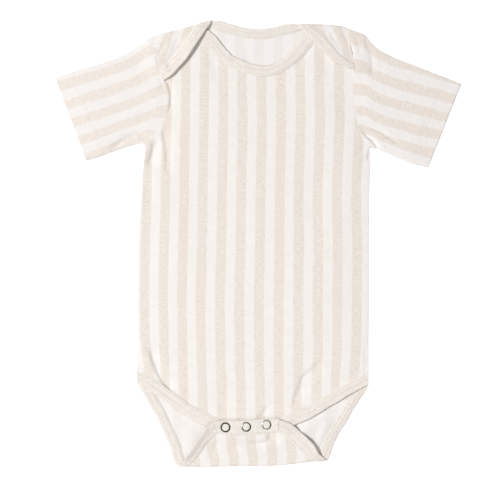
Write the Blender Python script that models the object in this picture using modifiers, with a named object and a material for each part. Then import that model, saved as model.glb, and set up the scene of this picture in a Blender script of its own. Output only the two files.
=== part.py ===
"""Baby bodysuit with short sleeves and lap shoulders, fastened and laid flat on its back.

Tables are in millimetres: +X to the wearer's left (the right-hand side seen from above), +Y to the neck, +Z up
from the surface that the garment lies on. The finished objects are in metres.

The back is one cut of cloth. Its shoulder laps fold forward over the front, and its crotch tail folds up over the
front's crotch end. So it is drawn on an opened-out coordinate q, which equals y on the back itself and runs on past
the fold lines: y = 2 * fold - q on a lap or on the tail.
"""

import math

import bmesh
import bpy
import numpy as np

MM = 0.001

# ---- driving sizes, mm -------------------------------------------------------------------------------------------
CLOTH = 1.0  # wall of the jersey
RIB = 1.8  # folded binding and doubled band
GAP = 0.3  # between pieces at a seam
CHORD = 0.3  # more room at a seam for the straight runs between its points
BACK_Z = 0.5  # middle of the back's wall, which lies on the surface
FRONT_Z = 2.6  # middle of the front's wall
FRONT_CROWN = 0.7  # how much the front stands up between its edges
SCOOP_SINK = 0.5  # how much lower the front lies along the neck's scoop, where nothing holds it up from the back
LAP_Z = 4.7  # middle of the shoulder laps
RIB_RISE = (RIB - CLOTH) / 2  # a binding's middle over its panel's middle: both lie on the same level
SIDE_RIM = 3.0  # width over which front and back bend together at the side seams
SNAP_RING_R, SNAP_RING_WIRE, SNAP_RING_HALF = 4.6, 0.75, 0.45
SNAP_CORE_R, SNAP_CORE_H = 4.4, 1.4
SHIFT_X, SHIFT_Y = -0.016, -0.449  # brings the middle of the whole garment's outline to x = y = 0

COLLECTION = "baby_bodysuit"
STRIPED = ("jersey_striped", (0.86, 0.82, 0.78, 1.0), 0.9, 0.0)
RIBBED = ("rib_binding", (0.80, 0.75, 0.70, 1.0), 0.9, 0.0)
METAL = ("snap_metal", (0.55, 0.56, 0.58, 1.0), 0.3, 1.0)


# ---- tables ------------------------------------------------------------------------------------------------------
def table(columns, rows):
    """Named columns from short rows, one row for each section."""
    names = columns.split()
    return {n: np.array([r[i] for r in rows], float) for i, n in enumerate(names)}


# The body's two long edges, from the leg corners up the side seams and the armhole seams to the shoulder fold.
BODY = table(
    "y left right",
    [
        (-142, -121.5, 110.5),
        (-100, -121.0, 110.5),
        (-50, -120.5, 111.0),
        (0, -120.0, 111.0),
        (44, -117.0, 111.0),
        (76, -115.0, 112.0),
        (90, -113.5, 111.8),
        (97, -112.5, 111.0),
        (104, -108.0, 106.5),
        (112, -103.0, 102.0),
        (121, -98.0, 99.5),
        (131, -94.5, 97.5),
        (144, -92.0, 96.0),
        (160, -95.0, 95.5),
        (174, -98.0, 95.8),
        (189, -101.0, 94.5),
        (200, -104.0, 92.0),
        (209, -107.0, 90.5),
        (216, -109.0, 90.0),
    ],
)
# Shoulder fold line and crotch fold line: where the middle of the folded cloth turns.
SHOULDER = table(
    "x y",
    [(-112, 205.5), (-100, 210.5), (-84, 213.5), (-68, 217.5), (-52, 222), (-44, 223.3), (-36, 222.5),
     (0, 219), (28, 219.5), (60, 219.5), (76, 218.5), (84, 217.5), (92, 214.5), (100, 211.5)],
)
CROTCH = table(
    "x y",
    [(-86, -220.5), (-76, -222), (-60, -222.6), (-20, -222), (12, -221.6), (36, -219.7), (60, -216.8), (72, -216.0)],
)
# How high the tail's wall stands, by its distance from the crotch fold.
TAIL = table("d z", [(0, 2.7), (10, 3.4), (20, 4.8), (29, 6.3), (50, 6.4)])

# Bindings: their free edge and the edge that is sewn to the panel, a row for each section. The layer is 0 on the
# panel itself and 1 on the part of it that is folded over.
FRONT_NECK = table(
    "free_x free_y seam_x seam_y",
    [
        (-104.6, 203.0, -102.2, 194.0),
        (-88.0, 208.5, -87.0, 198.5),
        (-72.0, 212.0, -70.5, 201.5),
        (-58.0, 215.0, -62.0, 201.0),
        (-50.5, 214.5, -57.0, 198.8),
        (-46.0, 211.5, -52.5, 197.3),
        (-43.0, 208.5, -48.5, 195.0),
        (-38.5, 203.0, -44.0, 191.0),
        (-33.5, 197.0, -39.5, 186.6),
        (-26.7, 189.8, -32.0, 180.0),
        (-17.0, 184.5, -20.4, 173.8),
        (-8.0, 181.0, -9.0, 170.0),
        (5.0, 178.5, 5.0, 167.5),
        (14.0, 179.6, 15.0, 168.8),
        (21.0, 182.6, 24.0, 172.0),
        (28.0, 187.5, 33.0, 178.0),
        (33.5, 193.0, 41.4, 185.0),
        (38.0, 199.0, 47.0, 190.5),
        (42.5, 205.7, 52.0, 196.5),
        (47.0, 211.0, 56.5, 201.5),
        (54.0, 214.0, 61.0, 204.0),
        (66.0, 213.5, 67.0, 203.5),
        (80.0, 211.5, 80.0, 201.0),
        (90.6, 206.0, 92.0, 197.0),
    ],
)
BACK_NECK = table(
    "layer free_x free_y seam_x seam_y",
    [
        (1, -94.6, 163.5, -98.0, 174.5),
        (1, -86.0, 169.0, -94.0, 177.5),
        (1, -80.0, 175.5, -88.5, 184.0),
        (1, -70.0, 187.5, -79.0, 195.0),
        (1, -61.0, 201.0, -70.5, 206.5),
        (1, -53.0, 214.0, -63.0, 216.5),
        (1, -49.0, 219.5, -59.0, 219.8),
        (0, -43.5, 223.0, -54.0, 218.8),
        (0, -36.0, 222.0, -44.0, 215.5),
        (0, -28.0, 219.8, -33.5, 211.3),
        (0, -20.0, 217.8, -23.0, 208.3),
        (0, -8.0, 215.3, -9.0, 205.8),
        (0, 5.0, 215.0, 5.0, 205.5),
        (0, 16.0, 216.5, 17.5, 207.2),
        (0, 27.0, 218.8, 30.0, 209.8),
        (0, 35.0, 219.2, 40.5, 213.3),
        (0, 40.0, 219.3, 50.0, 218.0),
        (1, 43.5, 216.0, 54.0, 217.6),
        (1, 53.0, 206.0, 62.0, 212.8),
        (1, 65.0, 193.5, 73.0, 200.5),
        (1, 77.0, 181.5, 83.0, 188.8),
        (1, 85.0, 178.5, 88.5, 184.7),
        (1, 95.2, 175.5, 94.4, 181.5),
    ],
)
FRONT_LEG_LEFT = table(
    "free_x free_y seam_x seam_y",
    [
        (-121.0, -139.5, -121.0, -127.5),
        (-108.5, -147.0, -107.0, -132.5),
        (-98.5, -153.5, -97.0, -139.5),
        (-82.6, -165.5, -78.5, -153.0),
        (-70.0, -174.0, -67.0, -161.0),
        (-52.3, -183.0, -49.0, -169.5),
        (-41.5, -188.5, -37.5, -176.0),
    ],
)
FRONT_LEG_RIGHT = table(
    "free_x free_y seam_x seam_y",
    [
        (110.2, -141.5, 110.5, -129.5),
        (100.5, -146.4, 98.5, -134.0),
        (87.7, -153.5, 84.5, -141.5),
        (71.7, -163.0, 68.6, -151.0),
        (55.8, -172.7, 52.6, -160.0),
        (37.5, -181.4, 35.0, -168.0),
        (27.0, -187.0, 24.5, -173.5),
        (18.0, -191.5, 15.0, -177.5),
    ],
)
BACK_LEG_LEFT = table(
    "layer free_x free_y seam_x seam_y",
    [
        (0, -121.2, -139.5, -121.0, -127.5),
        (0, -116.0, -148.5, -108.5, -140.0),
        (0, -108.0, -163.0, -99.0, -157.5),
        (0, -100.0, -177.5, -91.0, -171.5),
        (0, -92.0, -195.0, -82.5, -190.0),
        (0, -87.0, -208.0, -77.0, -204.0),
        (0, -83.5, -219.0, -73.0, -217.0),
        (1, -77.5, -220.0, -68.0, -221.0),
        (1, -70.0, -211.0, -61.5, -213.8),
        (1, -65.0, -204.0, -56.0, -206.8),
        (1, -60.0, -196.5, -51.5, -200.0),
        (1, -55.0, -189.0, -46.0, -194.0),
        (1, -51.0, -183.5, -43.2, -191.6),
        (1, -44.8, -177.6, -40.2, -188.6),
    ],
)
BACK_LEG_RIGHT = table(
    "layer free_x free_y seam_x seam_y",
    [
        (0, 110.5, -141.5, 110.5, -129.5),
        (0, 107.0, -148.5, 99.5, -141.5),
        (0, 100.0, -159.5, 91.0, -154.5),
        (0, 92.0, -173.0, 82.5, -168.5),
        (0, 84.0, -186.0, 74.5, -182.0),
        (0, 78.0, -197.0, 68.0, -194.0),
        (0, 73.0, -209.0, 62.5, -207.5),
        (0, 70.5, -215.0, 59.5, -215.0),
        (1, 67.5, -214.6, 55.0, -216.5),
        (1, 62.0, -208.0, 50.5, -214.8),
        (1, 55.8, -199.8, 46.0, -210.5),
        (1, 46.2, -190.2, 38.0, -202.0),
        (1, 37.5, -182.4, 30.0, -195.0),
        (1, 30.0, -178.0, 24.5, -190.0),
        (1, 20.5, -174.6, 19.3, -187.5),
    ],
)
# The doubled bands at the two crotch ends: their free edge and the edge sewn to the panel.
FRONT_BAND = table(
    "free_x free_y seam_x seam_y",
    [(-40.8, -188.8, -36.8, -176.4), (-26.0, -190.6, -26.0, -178.2), (-11.0, -191.2, -11.0, -179.0),
     (4.0, -191.2, 4.0, -178.8), (17.2, -191.2, 14.2, -178.0)],
)
BACK_BAND = table(
    "layer free_x free_y seam_x seam_y",
    [(1, -43.8, -177.0, -38.4, -189.6), (1, -30.0, -176.2, -28.0, -190.4), (1, -18.0, -175.8, -17.5, -190.8),
     (1, -4.0, -175.2, -4.0, -190.6), (1, 10.0, -174.4, 10.0, -189.4), (1, 19.6, -174.0, 18.6, -188.0)],
)
SNAPS = table("x y", [(-32.0, -183.5), (-11.5, -183.0), (8.5, -180.5)])

# Sleeves: shoulder fold edge and underarm edge from armhole to cuff. The cuff is the straight line between their ends.
SLEEVE_LEFT_TOP = table(
    "x y",
    [(-107.6, 209.0), (-116, 200.8), (-122, 196.2), (-134, 189.0), (-152, 182), (-176, 174.7), (-203, 166)],
)
SLEEVE_LEFT_BOTTOM = table(
    "x y", [(-113.6, 95.5), (-119.5, 100.6), (-128, 99), (-146, 93), (-158, 88.3), (-172, 84)]
)
SLEEVE_RIGHT_TOP = table(
    "x y",
    [(91.0, 213.6), (102, 211.4), (108, 208.6), (113, 202), (119, 196), (136, 186.5), (154, 179.3), (178, 170),
     (203, 160)],
)
SLEEVE_RIGHT_BOTTOM = table("x y", [(112.0, 96.4), (118, 96), (130, 91), (142, 86), (154, 81), (170, 77)])


# ---- curves ------------------------------------------------------------------------------------------------------
def smooth(x, xs, ys):
    """Interpolates a table's column without overshoot (a cubic with limited slopes); straight on past the ends."""
    xs, ys = np.asarray(xs, float), np.asarray(ys, float)
    if xs[0] > xs[-1]:
        xs, ys = xs[::-1], ys[::-1]
    x = np.asarray(x, float)
    h = np.diff(xs)
    d = np.diff(ys) / h
    m = np.zeros_like(xs)
    same = d[:-1] * d[1:] > 0
    w = h[:-1] + h[1:]
    top = 3 * w
    low = (h[1:] + w) / np.where(d[:-1] == 0, 1, d[:-1]) + (h[:-1] + w) / np.where(d[1:] == 0, 1, d[1:])
    m[1:-1] = np.where(same, top / np.where(low == 0, 1, low), 0.0)
    m[0], m[-1] = d[0], d[-1]
    i = np.clip(np.searchsorted(xs, x) - 1, 0, len(h) - 1)
    t = (x - xs[i]) / h[i]
    tc = np.clip(t, 0, 1)
    inside = (
        ys[i] * (1 + 2 * tc) * (1 - tc) ** 2
        + h[i] * m[i] * tc * (1 - tc) ** 2
        + ys[i + 1] * tc * tc * (3 - 2 * tc)
        + h[i] * m[i + 1] * tc * tc * (tc - 1)
    )
    slope = np.where(t < 0, m[i], m[i + 1])
    return inside + (t - tc) * h[i] * slope


def lengths(points):
    """Share of the way along a row of points, from 0 to 1."""
    s = np.concatenate([[0.0], np.cumsum(np.linalg.norm(np.diff(points, axis=0), axis=1))])
    return s / s[-1]


def along(points, t):
    """Smooth curve through points, at shares t of the way."""
    s = lengths(points)
    return np.stack([smooth(t, s, points[:, k]) for k in range(points.shape[1])], axis=-1)


def step(a, b, x):
    """0 before a, 1 after b, smooth between."""
    t = np.clip((np.asarray(x, float) - a) / (b - a), 0, 1)
    return t * t * (3 - 2 * t)


# ---- the garment's levels ----------------------------------------------------------------------------------------
def shoulder_fold(x):
    return smooth(x, SHOULDER["x"], SHOULDER["y"])


def crotch_fold(x):
    return smooth(x, CROTCH["x"], CROTCH["y"])


def side_rim(x, y):
    """1 on the side seams below the underarms, 0 further in and at the armholes."""
    near = np.minimum(x - smooth(y, BODY["y"], BODY["left"]), smooth(y, BODY["y"], BODY["right"]) - x)
    return (1 - step(0, SIDE_RIM, near)) * (1 - step(80, 92, y)) * step(-124, -112, y)


def front_z(x, y):
    left, right = smooth(y, BODY["y"], BODY["left"]), smooth(y, BODY["y"], BODY["right"])
    inward = np.minimum(x - left, right - x)
    crown = step(4, 40, inward) * step(-150, -90, y) * (1 - step(140, 175, y))
    sink = SCOOP_SINK * step(150, 182, y) * (1 - step(42, 56, np.abs(x)))
    return FRONT_Z + FRONT_CROWN * crown - sink - 0.3 * side_rim(x, y)


def opened(layer, x, y):
    """The opened-out coordinate q of a point seen at x, y on the back (layer 0) or on its folded parts (layer 1)."""
    fold = np.where(y > 0, shoulder_fold(x), crotch_fold(x))
    return np.where(layer > 0.5, 2 * fold - y, y)


def back_point(x, q, rise=0.0):
    """Where the back's cloth lies: flat, round the shoulder fold on to the laps, round the crotch fold on to the
    tail. rise lifts it from the panel's middle to a binding's middle."""
    low = BACK_Z + 0.5 * side_rim(x, q) + rise
    up, down = shoulder_fold(x), crotch_fold(x)
    # shoulder
    high = LAP_Z + rise
    half = (high - low) / 2
    a = np.clip((q - (up - half)) / (2 * half), 0, 1) * math.pi
    y = np.where(q < up - half, q, np.where(q > up + half, 2 * up - q, up - half + half * np.sin(a)))
    z = low + (high - low) * (1 - np.cos(a)) / 2
    # crotch
    d = np.maximum(down - q, 0)
    high_c = smooth(d, TAIL["d"], TAIL["z"]) + rise
    half_c = (TAIL["z"][0] - BACK_Z) / 2
    b = np.clip(((down + half_c) - q) / (2 * half_c), 0, 1) * math.pi
    y_c = np.where(q > down + half_c, q, np.where(q < down - half_c, 2 * down - q, down + half_c - half_c * np.sin(b)))
    z_c = low + (high_c - low) * (1 - np.cos(b)) / 2
    lower = q < 0
    return x, np.where(lower, y_c, y), np.where(lower, z_c, z)


# ---- making objects ----------------------------------------------------------------------------------------------
def material(spec):
    name, colour, rough, metal = spec
    made = bpy.data.materials.new(name)
    made.use_nodes = True
    shader = made.node_tree.nodes["Principled BSDF"]
    shader.inputs["Base Color"].default_value = colour
    shader.inputs["Roughness"].default_value = rough
    shader.inputs["Metallic"].default_value = metal
    made.diffuse_color = colour
    return made


def finish_object(name, mesh, spec):
    ob = bpy.data.objects.new(name, mesh)
    bpy.data.collections[COLLECTION].objects.link(ob)
    mesh.materials.append(material(spec))
    mesh.shade_smooth()
    return ob


def wall(name, across, down, place, thick, spec, wrap=False):
    """A sheet: a grid of across by down faces whose points place(u, v) puts, u and v from 0 to 1, with its wall's
    thickness from Solidify. wrap welds u = 0 to u = 1, for a tube."""
    bm = bmesh.new()
    bmesh.ops.create_grid(bm, x_segments=across, y_segments=down, size=0.5)
    bm.verts.ensure_lookup_table()
    u = np.array([v.co.x + 0.5 for v in bm.verts])
    w = np.array([v.co.y + 0.5 for v in bm.verts])
    x, y, z = place(u, w)
    for vert, px, py, pz in zip(bm.verts, x, y, z):
        vert.co = ((px + SHIFT_X) * MM, (py + SHIFT_Y) * MM, pz * MM)
    if wrap:
        bmesh.ops.remove_doubles(bm, verts=bm.verts, dist=0.00002)
    bmesh.ops.recalc_face_normals(bm, faces=bm.faces)
    mesh = bpy.data.meshes.new(name)
    bm.to_mesh(mesh)
    bm.free()
    ob = finish_object(name, mesh, spec)
    solid = ob.modifiers.new("wall", "SOLIDIFY")
    solid.thickness = thick * MM
    solid.offset = 0.0
    return ob


def panel(name, shares, rows, left, right, place, spec):
    """A cut of cloth between its side edges x = left(q) and x = right(q). shares are its columns of points, as
    shares of the width. rows(x) gives the levels of its rows of points from bottom to top, as a function of x."""
    across, down = len(shares) - 1, len(rows(np.zeros(1))) - 1

    def put(u, v):
        k = np.rint(v * down).astype(int)
        u = shares[np.rint(u * across).astype(int)]
        x = (left(0.0) + (right(0.0) - left(0.0)) * u) * np.ones_like(u)
        q = np.zeros_like(x)
        for _ in range(60):
            levels = rows(x)
            q = levels[k, np.arange(len(x))]
            x = 0.5 * x + 0.5 * (left(q) + (right(q) - left(q)) * u)
        return place(x, q)

    return wall(name, across, down, put, CLOTH, spec)


def strip(name, edges, sections, place, gap=GAP + CHORD, spec=RIBBED, across=2, thick=RIB):
    """A binding or band between its free edge and its seam edge, GAP away from the panel."""
    free = np.stack([edges["free_x"], edges["free_q"]], axis=1)
    seam = np.stack([edges["seam_x"], edges["seam_q"]], axis=1)

    def put(u, v):
        # u across from the seam to the free edge, v along the binding
        mid = lengths((free + seam) / 2)
        f = np.stack([smooth(v, mid, free[:, k]) for k in (0, 1)], axis=-1)
        s = np.stack([smooth(v, mid, seam[:, k]) for k in (0, 1)], axis=-1)
        way = f - s
        wide = np.linalg.norm(way, axis=1, keepdims=True)
        s = s + way / wide * gap
        p = s + (f - s) * u[:, None]
        return place(p[:, 0], p[:, 1])

    return wall(name, across, sections, put, thick, spec)


def seam_line(rows, samples=120):
    """The seam edge of a binding as x and q, at many places along it, so that its panel follows the same curve."""
    free = np.stack([rows["free_x"], rows["free_q"]], axis=1)
    seam = np.stack([rows["seam_x"], rows["seam_q"]], axis=1)
    mid, t = lengths((free + seam) / 2), np.linspace(0, 1, samples)
    return smooth(t, mid, seam[:, 0]), smooth(t, mid, seam[:, 1])


def with_q(rows):
    """Adds each edge's opened-out coordinate to a binding's table."""
    layer = rows.get("layer", np.zeros_like(rows["free_x"]))
    out = dict(rows)
    out["free_q"] = opened(layer, rows["free_x"], rows["free_y"])
    out["seam_q"] = opened(layer, rows["seam_x"], rows["seam_y"])
    return out


# ---- panels ------------------------------------------------------------------------------------------------------
def body_left(y):
    return smooth(y, BODY["y"], BODY["left"])


def body_right(y):
    return smooth(y, BODY["y"], BODY["right"])


def front_panel():
    lines = [seam_line(with_q(t)) for t in (FRONT_LEG_LEFT, FRONT_BAND, FRONT_LEG_RIGHT)]
    bottom_x = np.concatenate([lines[0][0], lines[1][0][4:-4], lines[2][0][::-1]])
    bottom_y = np.concatenate([lines[0][1], lines[1][1][4:-4], lines[2][1][::-1]])
    neck_x, neck_y = seam_line(with_q(FRONT_NECK))
    rows_v = np.array([0, 0.02, 0.05, 0.1, 0.16, 0.25, 0.36, 0.48, 0.58, 0.66, 0.7, 0.73, 0.76, 0.79, 0.83, 0.88,
                       0.93, 0.97, 1.0])

    def rows(x):
        low = smooth(x, bottom_x, bottom_y)
        high = smooth(x, neck_x, neck_y)
        return low[None, :] + (high - low)[None, :] * rows_v[:, None]

    def place(x, y):
        return x, y, front_z(x, y)

    return panel("front_panel", np.linspace(0, 1, 25), rows, body_left, body_right, place, STRIPED)


def back_edges():
    """The back's side edges by q: tail, leg edge, side seam, armhole, then the lap's end at the armhole."""
    edges = {}
    for side, leg, x_name in (("left", BACK_LEG_LEFT, "left"), ("right", BACK_LEG_RIGHT, "right")):
        leg_x, leg_q = seam_line(with_q(leg))
        keep = BODY["y"] > -120
        lap_y = np.array([204.0, 196.0, 189.0, 180.0, 172.0])
        lap_x = smooth(lap_y, BODY["y"], BODY[x_name])
        lap_q = 2 * shoulder_fold(lap_x) - lap_y
        q = np.concatenate([leg_q[::-1], BODY["y"][keep], lap_q])
        x = np.concatenate([leg_x[::-1], BODY[x_name][keep], lap_x])
        order = np.argsort(q)
        edges[side] = (q[order], x[order])
    return edges


def back_panel():
    edges = back_edges()
    neck_x, neck_q = seam_line(with_q(BACK_NECK))
    band_x, band_q = seam_line(with_q(BACK_BAND))

    def left(q):
        return smooth(q, *edges["left"])

    def right(q):
        return smooth(q, *edges["right"])

    half = (LAP_Z - BACK_Z) / 2
    main = np.array([0, 0.04, 0.08, 0.12, 0.16, 0.182, 0.205, 0.3, 0.45, 0.6, 0.7, 0.73, 0.755, 0.78, 0.81, 0.85, 0.9, 0.95,
                     1.0])
    # closer columns where the lap's bound edge goes round the shoulder fold
    shares = np.array([0, 0.04, 0.08, 0.12, 0.155, 0.18, 0.2, 0.22, 0.24, 0.26, 0.285, 0.33, 0.39, 0.46, 0.54, 0.61,
                       0.67, 0.715, 0.74, 0.762, 0.778, 0.79, 0.802, 0.82, 0.845, 0.88, 0.92, 0.96, 1.0])

    def rows(x):
        end = smooth(x, band_x, band_q)
        low = crotch_fold(x)
        up = shoulder_fold(x)
        top = smooth(x, neck_x, neck_q)
        turn0 = np.minimum(up - half, top - 9.0)
        turn1 = np.minimum(up + half, top - 4.0)
        out = [end + (low - 1.1 - end) * t for t in (0, 0.3, 0.6, 0.85, 1)]
        out += [low - 1.1 + 2.2 * t for t in (0.25, 0.5, 0.75)]
        out += [low + 1.1 + (turn0 - low - 1.1) * t for t in main]
        out += [turn0 + (turn1 - turn0) * t for t in (0.2, 0.4, 0.6, 0.8)]
        out += [turn1 + (top - turn1) * t for t in (0, 0.25, 0.5, 0.75, 1)]
        return np.array(out)

    return panel("back_panel", shares, rows, left, right, back_point, STRIPED)


# ---- sleeves -----------------------------------------------------------------------------------------------------
def sleeve(name, top, bottom, body_edge, sign):
    """A flattened tube: its upper and lower walls meet in round folds at the shoulder edge and at the underarm."""
    top_points = np.stack([top["x"], top["y"]], axis=1)
    low_points = np.stack([bottom["x"], bottom["y"]], axis=1)
    half = (FRONT_Z - BACK_Z) / 2
    turn = 0.014  # share of the width that a fold takes
    # ring of sections: (share of the way from underarm to shoulder, height from -1 on the lower wall to 1 on the upper)
    flat = [0.06, 0.15, 0.25, 0.36, 0.48, 0.6, 0.72, 0.84, 0.94]
    bends = [math.radians(a) for a in (-90, -45, 0, 45, 90)]
    ring = [(turn - turn * math.cos(a), math.sin(a)) for a in bends]
    ring += [(s, 1.0) for s in flat]
    ring += [(1 - turn + turn * math.cos(a), math.sin(a)) for a in bends[::-1]]
    ring += [(s, -1.0) for s in flat[::-1]]
    ring.append(ring[0])
    ring = np.array(ring)
    y0, y1 = bottom["y"][0], top["y"][0]

    def put(u, v):
        k = np.rint(u * (len(ring) - 1)).astype(int)
        s, h = ring[k, 0], ring[k, 1]
        out_t, out_b = along(top_points, v), along(low_points, v)
        cuff = low_points[-1] + (top_points[-1] - low_points[-1]) * s[:, None]
        arm_y = y0 + (y1 - y0) * s
        arm = np.stack([body_edge(arm_y) + sign * (2 * GAP + CHORD), arm_y], axis=1)
        v_, s_ = v[:, None], s[:, None]
        corners = (
            (1 - s_) * (1 - v_) * low_points[0]
            + s_ * (1 - v_) * top_points[0]
            + (1 - s_) * v_ * low_points[-1]
            + s_ * v_ * top_points[-1]
        )
        p = (1 - v_) * arm + v_ * cuff + (1 - s_) * out_b + s_ * out_t - corners
        return p[:, 0], p[:, 1], (BACK_Z + FRONT_Z) / 2 + half * h

    return wall(name, len(ring) - 1, 7, put, CLOTH, STRIPED, wrap=True)


# ---- snaps -------------------------------------------------------------------------------------------------------
def moved(mesh, x, y, z, flat=1.0):
    for v in mesh.vertices:
        v.co = ((x + SHIFT_X) * MM + v.co.x, (y + SHIFT_Y) * MM + v.co.y, z * MM + v.co.z * flat)


def take_primitive(name, x, y, z, flat):
    """Gives the primitive just added its name, material and place."""
    ob = bpy.context.active_object
    mesh = ob.data
    mesh.name = name
    bpy.data.objects.remove(ob)
    moved(mesh, x, y, z, flat)
    return finish_object(name, mesh, METAL)


def snaps():
    band_top = TAIL["z"][-1] - CLOTH / 2 + RIB
    core_z = (FRONT_Z - CLOTH / 2 + RIB + TAIL["z"][-1] - CLOTH / 2) / 2
    inner_z = (BACK_Z + CLOTH / 2 + FRONT_Z - CLOTH / 2) / 2
    for i, (x, y) in enumerate(zip(SNAPS["x"], SNAPS["y"]), 1):
        bpy.ops.mesh.primitive_torus_add(
            major_radius=SNAP_RING_R * MM, minor_radius=SNAP_RING_WIRE * MM, major_segments=18, minor_segments=5
        )
        take_primitive(f"snap_ring_{i}", x, y, band_top + GAP + SNAP_RING_HALF, SNAP_RING_HALF / SNAP_RING_WIRE)
        bpy.ops.mesh.primitive_cylinder_add(vertices=16, radius=SNAP_CORE_R * MM, depth=SNAP_CORE_H * MM)
        take_primitive(f"snap_core_{i}", x, y, core_z, 1.0)
        bpy.ops.mesh.primitive_torus_add(
            major_radius=SNAP_RING_R * MM, minor_radius=SNAP_RING_WIRE * MM, major_segments=14, minor_segments=4
        )
        take_primitive(f"snap_inner_{i}", x, y, inner_z, 0.25 / SNAP_RING_WIRE)


# ---- the whole ---------------------------------------------------------------------------------------------------
def main():
    for ob in list(bpy.data.objects):
        bpy.data.objects.remove(ob)
    bpy.context.scene.collection.children.link(bpy.data.collections.new(COLLECTION))

    def on_front(x, y):
        return x, y, front_z(x, y) + RIB_RISE + 0.3 * side_rim(x, y)

    def on_back(x, q):
        return back_point(x, q, RIB_RISE)

    front_panel()
    back_panel()
    sleeve("sleeve_left", SLEEVE_LEFT_TOP, SLEEVE_LEFT_BOTTOM, body_left, -1)
    sleeve("sleeve_right", SLEEVE_RIGHT_TOP, SLEEVE_RIGHT_BOTTOM, body_right, 1)
    strip("neck_binding_front", with_q(FRONT_NECK), 44, on_front)
    strip("neck_binding_back", with_q(BACK_NECK), 72, on_back, gap=0.8)
    strip("leg_binding_front_left", with_q(FRONT_LEG_LEFT), 18, on_front)
    strip("leg_binding_front_right", with_q(FRONT_LEG_RIGHT), 18, on_front)
    strip("leg_binding_back_left", with_q(BACK_LEG_LEFT), 46, on_back)
    strip("leg_binding_back_right", with_q(BACK_LEG_RIGHT), 52, on_back, gap=0.9)
    strip("crotch_band_front", with_q(FRONT_BAND), 8, on_front)
    strip("crotch_band_back", with_q(BACK_BAND), 8, on_back)
    snaps()


main()
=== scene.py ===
"""Baby bodysuit laid flat on its back: the visible cloth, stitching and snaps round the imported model.

Tables are in millimetres in the garment's own drawing: x to the right, y to the neck, z up from the surface. The same
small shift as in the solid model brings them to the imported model's frame.
"""

import math

import bpy
import numpy as np
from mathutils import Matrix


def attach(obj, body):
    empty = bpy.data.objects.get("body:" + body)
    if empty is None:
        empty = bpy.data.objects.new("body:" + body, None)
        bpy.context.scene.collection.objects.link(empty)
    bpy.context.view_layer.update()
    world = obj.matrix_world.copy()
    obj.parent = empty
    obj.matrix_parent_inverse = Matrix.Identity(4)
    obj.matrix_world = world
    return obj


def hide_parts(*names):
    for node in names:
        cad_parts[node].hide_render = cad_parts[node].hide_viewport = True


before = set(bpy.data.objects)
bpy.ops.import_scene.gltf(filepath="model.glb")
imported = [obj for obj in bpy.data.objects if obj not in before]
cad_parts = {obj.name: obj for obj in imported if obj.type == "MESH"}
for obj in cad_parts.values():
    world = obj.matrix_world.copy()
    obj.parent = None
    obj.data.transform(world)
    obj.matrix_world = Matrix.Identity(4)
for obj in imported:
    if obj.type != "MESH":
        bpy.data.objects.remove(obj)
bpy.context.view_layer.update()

MM = 0.001
CLOTH, RIB = 1.0, 1.8
BACK_Z, FRONT_Z, FRONT_CROWN, LAP_Z = 0.5, 2.6, 0.7, 4.7
SCOOP_SINK = 0.5
RIB_RISE = (RIB - CLOTH) / 2
SIDE_RIM = 5.0
SNAP_RING_R = 4.6
SHIFT = np.array([-0.016, -0.449, 0.0])


# ---- tables of the garment's outline -----------------------------------------------------------------------------
def table(columns, rows):
    names = columns.split()
    return {n: np.array([r[i] for r in rows], float) for i, n in enumerate(names)}


BODY = table(
    "y left right",
    [
        (-142, -121.5, 110.5),
        (-100, -121.0, 110.5),
        (-50, -120.5, 111.0),
        (0, -120.0, 111.0),
        (44, -117.0, 111.0),
        (76, -115.0, 112.0),
        (90, -113.5, 111.8),
        (97, -112.5, 111.0),
        (104, -107.5, 106.5),
        (112, -102.0, 102.0),
        (121, -95.5, 99.5),
        (131, -90.2, 97.5),
        (144, -86.7, 96.0),
        (152, -87.0, 95.6),
        (158, -88.5, 95.5),
        (163, -91.4, 95.6),
        (174, -97.2, 95.8),
        (189, -100.4, 94.5),
        (200, -102.6, 92.0),
        (209, -104.6, 90.5),
        (216, -106.2, 90.0),
    ],
)
SHOULDER = table(
    "x y",
    [(-112, 203.3), (-103.3, 207.8), (-98.3, 209.6), (-84, 213.2), (-68, 217.5), (-52, 222), (-44, 223.3), (-36, 222.5),
     (0, 219), (28, 219.5), (60, 219.5), (76, 218.5), (84, 217.5), (92, 214.5), (100, 211.5)],
)
CROTCH = table(
    "x y",
    [(-86, -220.5), (-76, -222), (-60, -222.6), (-20, -222), (12, -221.6), (36, -219.7), (60, -216.8), (72, -216.0)],
)
TAIL = table("d z", [(0, 2.7), (10, 3.4), (20, 4.8), (29, 6.3), (50, 6.4)])
FRONT_NECK = table(
    "free_x free_y seam_x seam_y",
    [
        (-104.6, 203.0, -102.2, 194.0),
        (-88.0, 208.5, -87.0, 198.5),
        (-72.0, 212.0, -70.5, 201.5),
        (-58.0, 215.0, -62.0, 201.0),
        (-50.5, 214.5, -57.0, 198.8),
        (-46.0, 211.5, -52.5, 197.3),
        (-43.0, 208.5, -48.5, 195.0),
        (-38.5, 203.0, -44.0, 191.0),
        (-33.5, 197.0, -39.5, 186.6),
        (-26.7, 189.8, -32.0, 180.0),
        (-17.0, 184.5, -20.4, 173.8),
        (-8.0, 181.0, -9.0, 170.0),
        (5.0, 178.5, 5.0, 167.5),
        (14.0, 179.6, 15.0, 168.8),
        (21.0, 182.6, 24.0, 172.0),
        (28.0, 187.5, 33.0, 178.0),
        (33.5, 193.0, 41.4, 185.0),
        (38.0, 199.0, 47.0, 190.5),
        (42.5, 205.7, 52.0, 196.5),
        (47.0, 211.0, 56.5, 201.5),
        (54.0, 214.0, 61.0, 204.0),
        (66.0, 213.5, 67.0, 203.5),
        (80.0, 211.5, 80.0, 201.0),
        (90.6, 206.0, 92.0, 197.0),
    ],
)
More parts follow.
